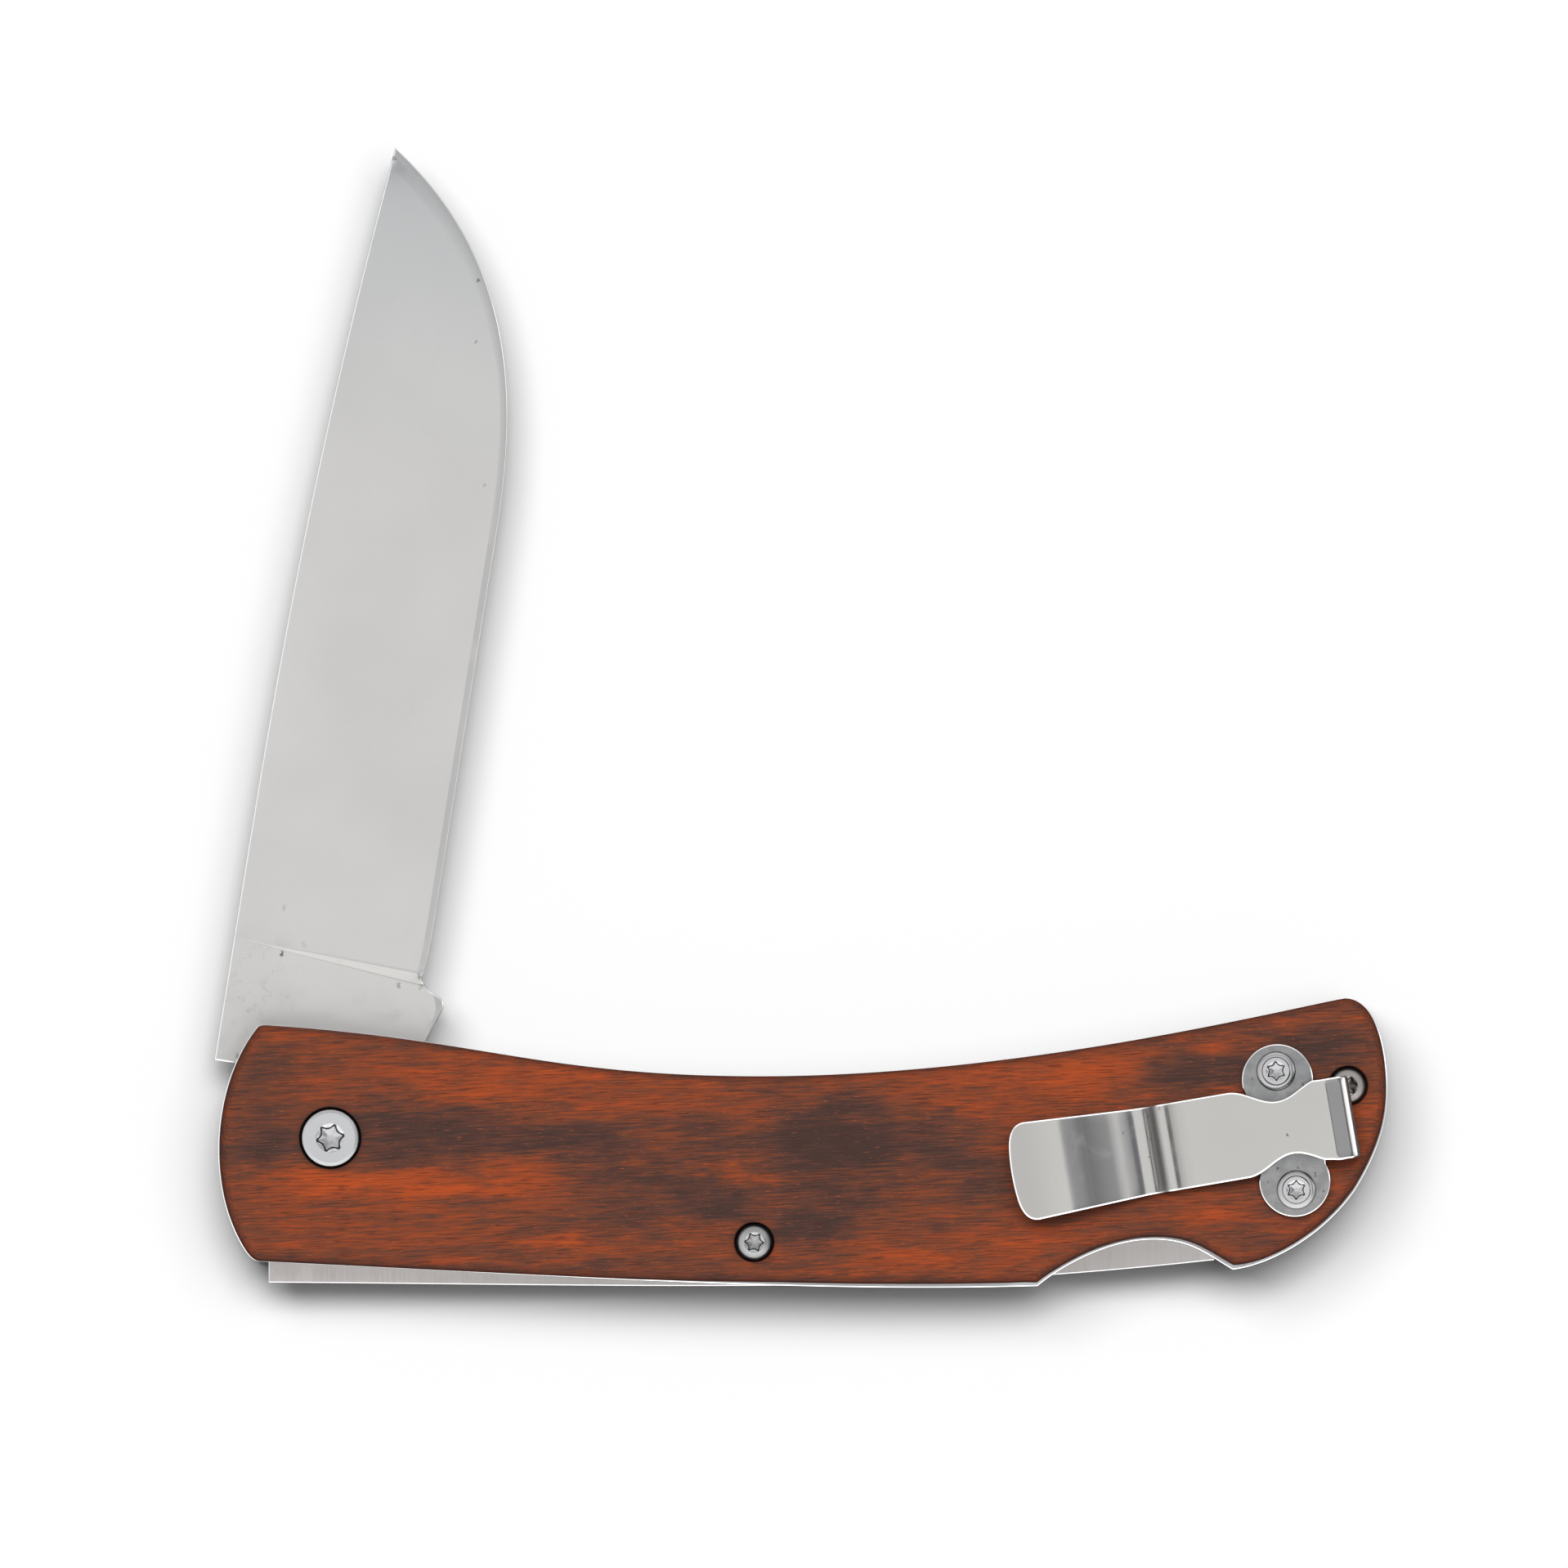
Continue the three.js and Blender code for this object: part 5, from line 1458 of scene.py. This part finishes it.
def screw_stations(
    head, rim, crown, crown_height, face, height, star, depth, shank, length, rim_shade, star_shade,
):
    floor = height - depth
    rows = [(0.0, -1 * length, 0.0), (shank * 0.8, -1 * length, 0.0), (shank, shank * 0.2 - length, 0.0)]
    rows += [(shank, 0.0, 0.0), (head * 0.97, 0.0, 0.0), (head, head * 0.03, 0.0), (head, rim * 0.93, 0.0)]
    for turn, tone in CROWN_STEPS:
        angle = math.radians(turn)
        at = (crown + (head - crown) * math.cos(angle), rim + (crown_height - rim) * math.sin(angle), 0.0)
        rows.append((*at, rim_shade * tone))
    rows += [(crown * 0.4 + face * 0.6, crown_height * 0.2 + height * 0.8, 0.0), (face, height, 0.0)]
    rows += [(face * 0.96, height, 0.0), (star * 1.06, height, 0.0), (star * 1.01, height, 0.0)]
    rows += [(star, height - star * 0.02, LOBE_DEPTH * 0.15), (star, height - star * 0.1, LOBE_DEPTH * 0.8)]
    # The star's walls and floor carry painted shade
    rows += [(star, height - star * 0.12, LOBE_DEPTH * 0.9, 0.85)]
    rows += [(star * 0.99, height - star * 0.14, LOBE_DEPTH, 1.0), (star * 0.89, floor, LOBE_DEPTH, 1.0)]
    rows += [(star * 0.85, floor - star * 0.02, LOBE_DEPTH, star_shade)]
    rows += [(star * 0.4, floor - star * 0.13, LOBE_DEPTH * 0.3, star_shade * 0.6)]
    rows += [(0.0, floor - star * 0.24, 0.0, star_shade * 0.4)]
    return rows


def sleeve_stations(outer, inner, length):
    ease = (outer - inner) * 0.15
    return [
        (inner, 0.0, 0.0), (outer - ease, 0.0, 0.0), (outer, ease, 0.0), (outer, length - ease, 0.0),
        (outer - ease, length, 0.0), (inner, length, 0.0), (inner, 0.0, 0.0),
    ]


def barrel_stations(head, head_height, barrel, bore, length, floor):
    ease = head * 0.06
    return [
        (0.0, 0.0, 0.0), (head * 0.86, 0.0, 0.0), (head - ease, ease * 0.4, 0.0), (head, ease * 1.4, 0.0),
        (head, head_height, 0.0), (barrel, head_height, 0.0), (barrel, length, 0.0), (bore, length, 0.0),
        (bore, floor, 0.0), (0.0, floor, 0.0),
    ]


screw_tree = turned_tree("six_lobe_screw", (
    ("Head Radius", 0.00176), ("Rim Height", 0.0003), ("Crown Radius", 0.0011), ("Crown Height", 0.00108),
    ("Face Radius", 0.001), ("Head Height", 0.0011), ("Star Radius", 0.0009), ("Star Depth", 0.0006),
    ("Shank Radius", 0.00085), ("Shank Length", 0.0034), ("Rim Shade", 0.2), ("Star Shade", 0.2),
), screw_stations, 96)
sleeve_tree = turned_tree("plain_sleeve", (
    ("Outer Radius", 0.0014), ("Inner Radius", 0.00095), ("Length", 0.009),
), sleeve_stations, 64)
barrel_tree = turned_tree("headed_barrel", (
    ("Head Radius", 0.00284), ("Head Height", 0.001), ("Barrel Radius", 0.0024), ("Bore Radius", 0.0016),
    ("Length", 0.0109), ("Bore Floor", 0.004),
), barrel_stations, 96)


HEAD_LABELS = (
    "Head Radius", "Rim Height", "Crown Radius", "Crown Height", "Face Radius", "Head Height",
    "Star Radius", "Rim Shade", "Star Shade",
)


def screw(name, node, centre, seat, head, shank, turn, down=False, metal=screw_steel):
    """The head is given by its nine values in the order of the labels, the last two as shares of painted
    shade.
    """
    sizes = dict(zip(HEAD_LABELS, head))
    depth = sizes["Head Height"] * 0.5
    sizes.update({"Star Depth": depth, "Shank Radius": shank[0], "Shank Length": shank[1]})
    rotation = (math.pi if down else 0.0, 0.0, math.radians(turn))
    piece = turned_piece(name, screw_tree, centre, seat, sizes, metal, rotation)
    keep(piece, "handle", "screw_steel", node)


def sleeve(name, node, centre, height, outer, inner, length, material, slot):
    sizes = {"Outer Radius": outer, "Inner Radius": inner, "Length": length}
    keep(turned_piece(name, sleeve_tree, centre, height, sizes, material), "handle", slot, node)


PIVOT_SHAPE = (PIVOT_HEAD + 0.07, 1.0, 2.52, 1.27, 2.44, PIVOT_HEAD_HEIGHT, 1.41, 0.13, 0.22)
SMALL_SHAPE = (SMALL_HEAD + 0.1, 0.46, 1.1, 1.07, 1.05, SMALL_HEAD_HEIGHT, 0.96, 0.78, 0.34)
REAR_SHAPE = (*SMALL_SHAPE[:7], 0.4, 0.3)
CLIP_SHAPE = (1.93, 0.16, 1.42, 0.6, 1.3, 0.9, 0.96, 0.55, 0.16)
PIVOT_THREAD = (PIVOT_SHANK, PIVOT_SEAT - CHANNEL_LOW)
SMALL_THREAD = (SMALL_SHANK, SMALL_SHANK_LENGTH)
CLIP_THREAD = (SMALL_SHANK, 5.4)
small_screws = (
    ("lock_pin_star_screw", "lock_pin_front_screw", LOCK_PIN, SMALL_SHAPE, 56, False, dull_screw_steel),
    ("rear_star_screw", "rear_front_screw", REAR_BARREL, REAR_SHAPE, 8, False, worn_screw_steel),
    ("lock_pin_back_star_screw", "lock_pin_back_screw", LOCK_PIN, SMALL_SHAPE, 12, True, screw_steel),
    ("rear_back_star_screw", "rear_back_screw", REAR_BARREL, SMALL_SHAPE, 47, True, screw_steel),
)
screw("pivot_star_screw", "pivot_screw", PIVOT, PIVOT_SEAT, PIVOT_SHAPE, PIVOT_THREAD, 11)
for label, node, centre, shape, turn, down, metal in small_screws:
    seat = BACK_SEAT if down else FRONT_SEAT
    screw(label, node, centre, seat, shape, SMALL_THREAD, turn, down, metal)
for label, centre, turn in (("upper", clip_screws[0], 33), ("lower", clip_screws[1], 30)):
    seat = FRONT_SCALE_HIGH + CLIP_THICKNESS
    screw(f"{label}_clip_star_screw", f"{label}_clip_screw", centre, seat, CLIP_SHAPE, CLIP_THREAD, turn)

small_sleeve = (SLEEVE_LOW, SLEEVE, SMALL_SHANK + RUNNING_GAP, SLEEVE_LENGTH, screw_steel, "screw_steel")
sleeve("lock_pin_sleeve", "lock_pin", LOCK_PIN, *small_sleeve)
sleeve("rear_sleeve", "rear_barrel", REAR_BARREL, *small_sleeve)
thin_ring = (WASHER_RADIUS, PIVOT_BORE, WASHER_THICKNESS, washer_bronze, "bronze")
sleeve("front_bearing_washer", "front_washer", PIVOT, BLADE_HIGH, *thin_ring)
sleeve("back_bearing_washer", "back_washer", PIVOT, CHANNEL_LOW, *thin_ring)

barrel_sizes = {
    "Head Radius": PIVOT_HEAD, "Head Height": PLAIN_HEAD_HEIGHT, "Barrel Radius": PIVOT_BARREL,
    "Bore Radius": PIVOT_SHANK + RUNNING_GAP, "Length": PIVOT_SEAT - RUNNING_GAP,
    "Bore Floor": CHANNEL_LOW - 0.5,
}
barrel = turned_piece("pivot_axle", barrel_tree, PIVOT, 0.0, barrel_sizes, screw_steel)
keep(barrel, "handle", "screw_steel", "pivot_barrel")
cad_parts["spacer_dowel"].data.materials[0] = screw_steel


# Floor, light and camera

FLOOR_REACH = 3.0
FLOOR_DROP = 0.0002
AMBIENT = 0.09


def add_floor():
    """The floor looks white to the camera and throws little light back at the knife."""
    r = FLOOR_REACH
    mesh = bpy.data.meshes.new("floor")
    mesh.from_pydata([(-r, -r, 0), (r, -r, 0), (r, r, 0), (-r, r, 0)], [], [(0, 1, 2, 3)])
    floor = bpy.data.objects.new("floor", mesh)
    floor.location.z = -FLOOR_DROP
    bpy.context.scene.collection.objects.link(floor)
    material, g, shader = new_material("floor_paper")
    seen = g.node("ShaderNodeLightPath").outputs["Is Camera Ray"]
    g.put(shader.inputs["Base Color"], g.mix(seen, (0.12, 0.12, 0.12, 1.0), (0.922, 0.922, 0.922, 1.0)))
    shader.inputs["Roughness"].default_value = 0.9
    shader.inputs["Specular IOR Level"].default_value = 0.1
    mesh.materials.append(material)


def add_world():
    """A soft sky that the steel reflects, and a low even light for the floor and the wood."""
    world = bpy.data.worlds.new("studio")
    bpy.context.scene.world = world
    world.use_nodes = True
    world.node_tree.nodes.clear()
    g = Graph(world.node_tree)
    way = g.vector("NORMALIZE", g.node("ShaderNodeTexCoord").outputs["Generated"])
    x, y, z = g.node("ShaderNodeSeparateXYZ", {0: way}).outputs

    def product(first, second):
        return g.math("MULTIPLY", first, second)

    def rest(share):
        return g.math("SUBTRACT", 1.0, share)

    def dip(value, start, low, high, end, depth):
        """Full light that falls by the depth between two places."""
        trough = g.math("SUBTRACT", g.span(value, start, low), g.span(value, high, end))
        return rest(product(trough, depth))

    # The dark panel beside the clip's bends, then softer changes of the sky
    aside = product(g.span(y, -0.30, -0.12), g.span(y, 0.38, 0.26))
    side = rest(product(aside, rest(dip(x, 0.365, 0.55, 0.68, 0.80, 0.82))))
    level = product(side, dip(y, 0.28, 0.44, 0.60, 0.74, 0.35))
    level = product(level, g.span(x, 0.60, 0.78, 1.0, 0.72))
    glint = product(g.span(y, -0.02, 0.10), g.span(y, 0.36, 0.26))
    for more in (
        g.span(y, -0.22, -0.42, 0.0, 0.4),
        g.span(z, 0.50, 0.26, 0.0, 0.30),
        g.span(y, 0.82, 0.96, 0.0, 0.3),
        product(g.span(y, -0.5, -0.9), g.span(z, 0.6, 0.3, 0.0, 0.7)),
        product(glint, g.span(x, 0.80, 0.88, 0.0, 1.2)),
    ):
        level = g.math("ADD", level, more)
    rays = g.node("ShaderNodeLightPath").outputs
    seen = rays["Is Camera Ray"]
    mirrored = product(rays["Is Glossy Ray"], g.math("LESS_THAN", rays["Diffuse Depth"], 0.5))
    others = rest(g.math("MAXIMUM", mirrored, seen))
    level = g.math("MULTIPLY_ADD", others, AMBIENT, product(level, mirrored))
    level = g.math("ADD", level, seen)
    tint = g.mix(side, (0.925, 0.965, 1.09, 1.0), (0.985, 0.99, 1.0, 1.0))
    sky = g.node("ShaderNodeBackground", {"Color": tint, "Strength": level})
    g.node("ShaderNodeOutputWorld", {"Surface": sky.outputs[0]})


def add_sun(name, strength, tilt_x, tilt_y, spread):
    light = bpy.data.lights.new(name, "SUN")
    light.energy = strength
    light.angle = math.radians(spread)
    lamp = bpy.data.objects.new(name, light)
    lamp.rotation_euler = (math.radians(tilt_x), math.radians(tilt_y), 0.0)
    lamp.visible_glossy = False
    bpy.context.scene.collection.objects.link(lamp)


# The photograph looks straight down. Its scale and the pivot's place in it give the view.
PHOTO_PIXELS = 1918
MM_PER_PIXEL = 0.08
PIVOT_PIXEL = (404, 1392)


def add_camera():
    data = bpy.data.cameras.new("photo_view")
    data.type = "ORTHO"
    data.ortho_scale = PHOTO_PIXELS * MM_PER_PIXEL * MM
    data.clip_start = 0.01
    data.clip_end = 20.0
    middle = PHOTO_PIXELS / 2
    across = (middle - PIVOT_PIXEL[0]) * MM_PER_PIXEL * MM
    up = (PIVOT_PIXEL[1] - middle) * MM_PER_PIXEL * MM
    camera = bpy.data.objects.new("photo_view", data)
    camera.location = (across, up, 0.5)
    bpy.context.scene.collection.objects.link(camera)
    bpy.context.scene.camera = camera


add_floor()
add_world()
add_sun("left", 1.31, -18.5, -16.5, 26.0)
add_sun("key", 0.99, -14.5, 3.0, 19.0)
add_sun("right", 1.04, -8.5, 12.5, 38.0)
add_camera()
bpy.context.scene.view_settings.view_transform = "Standard"
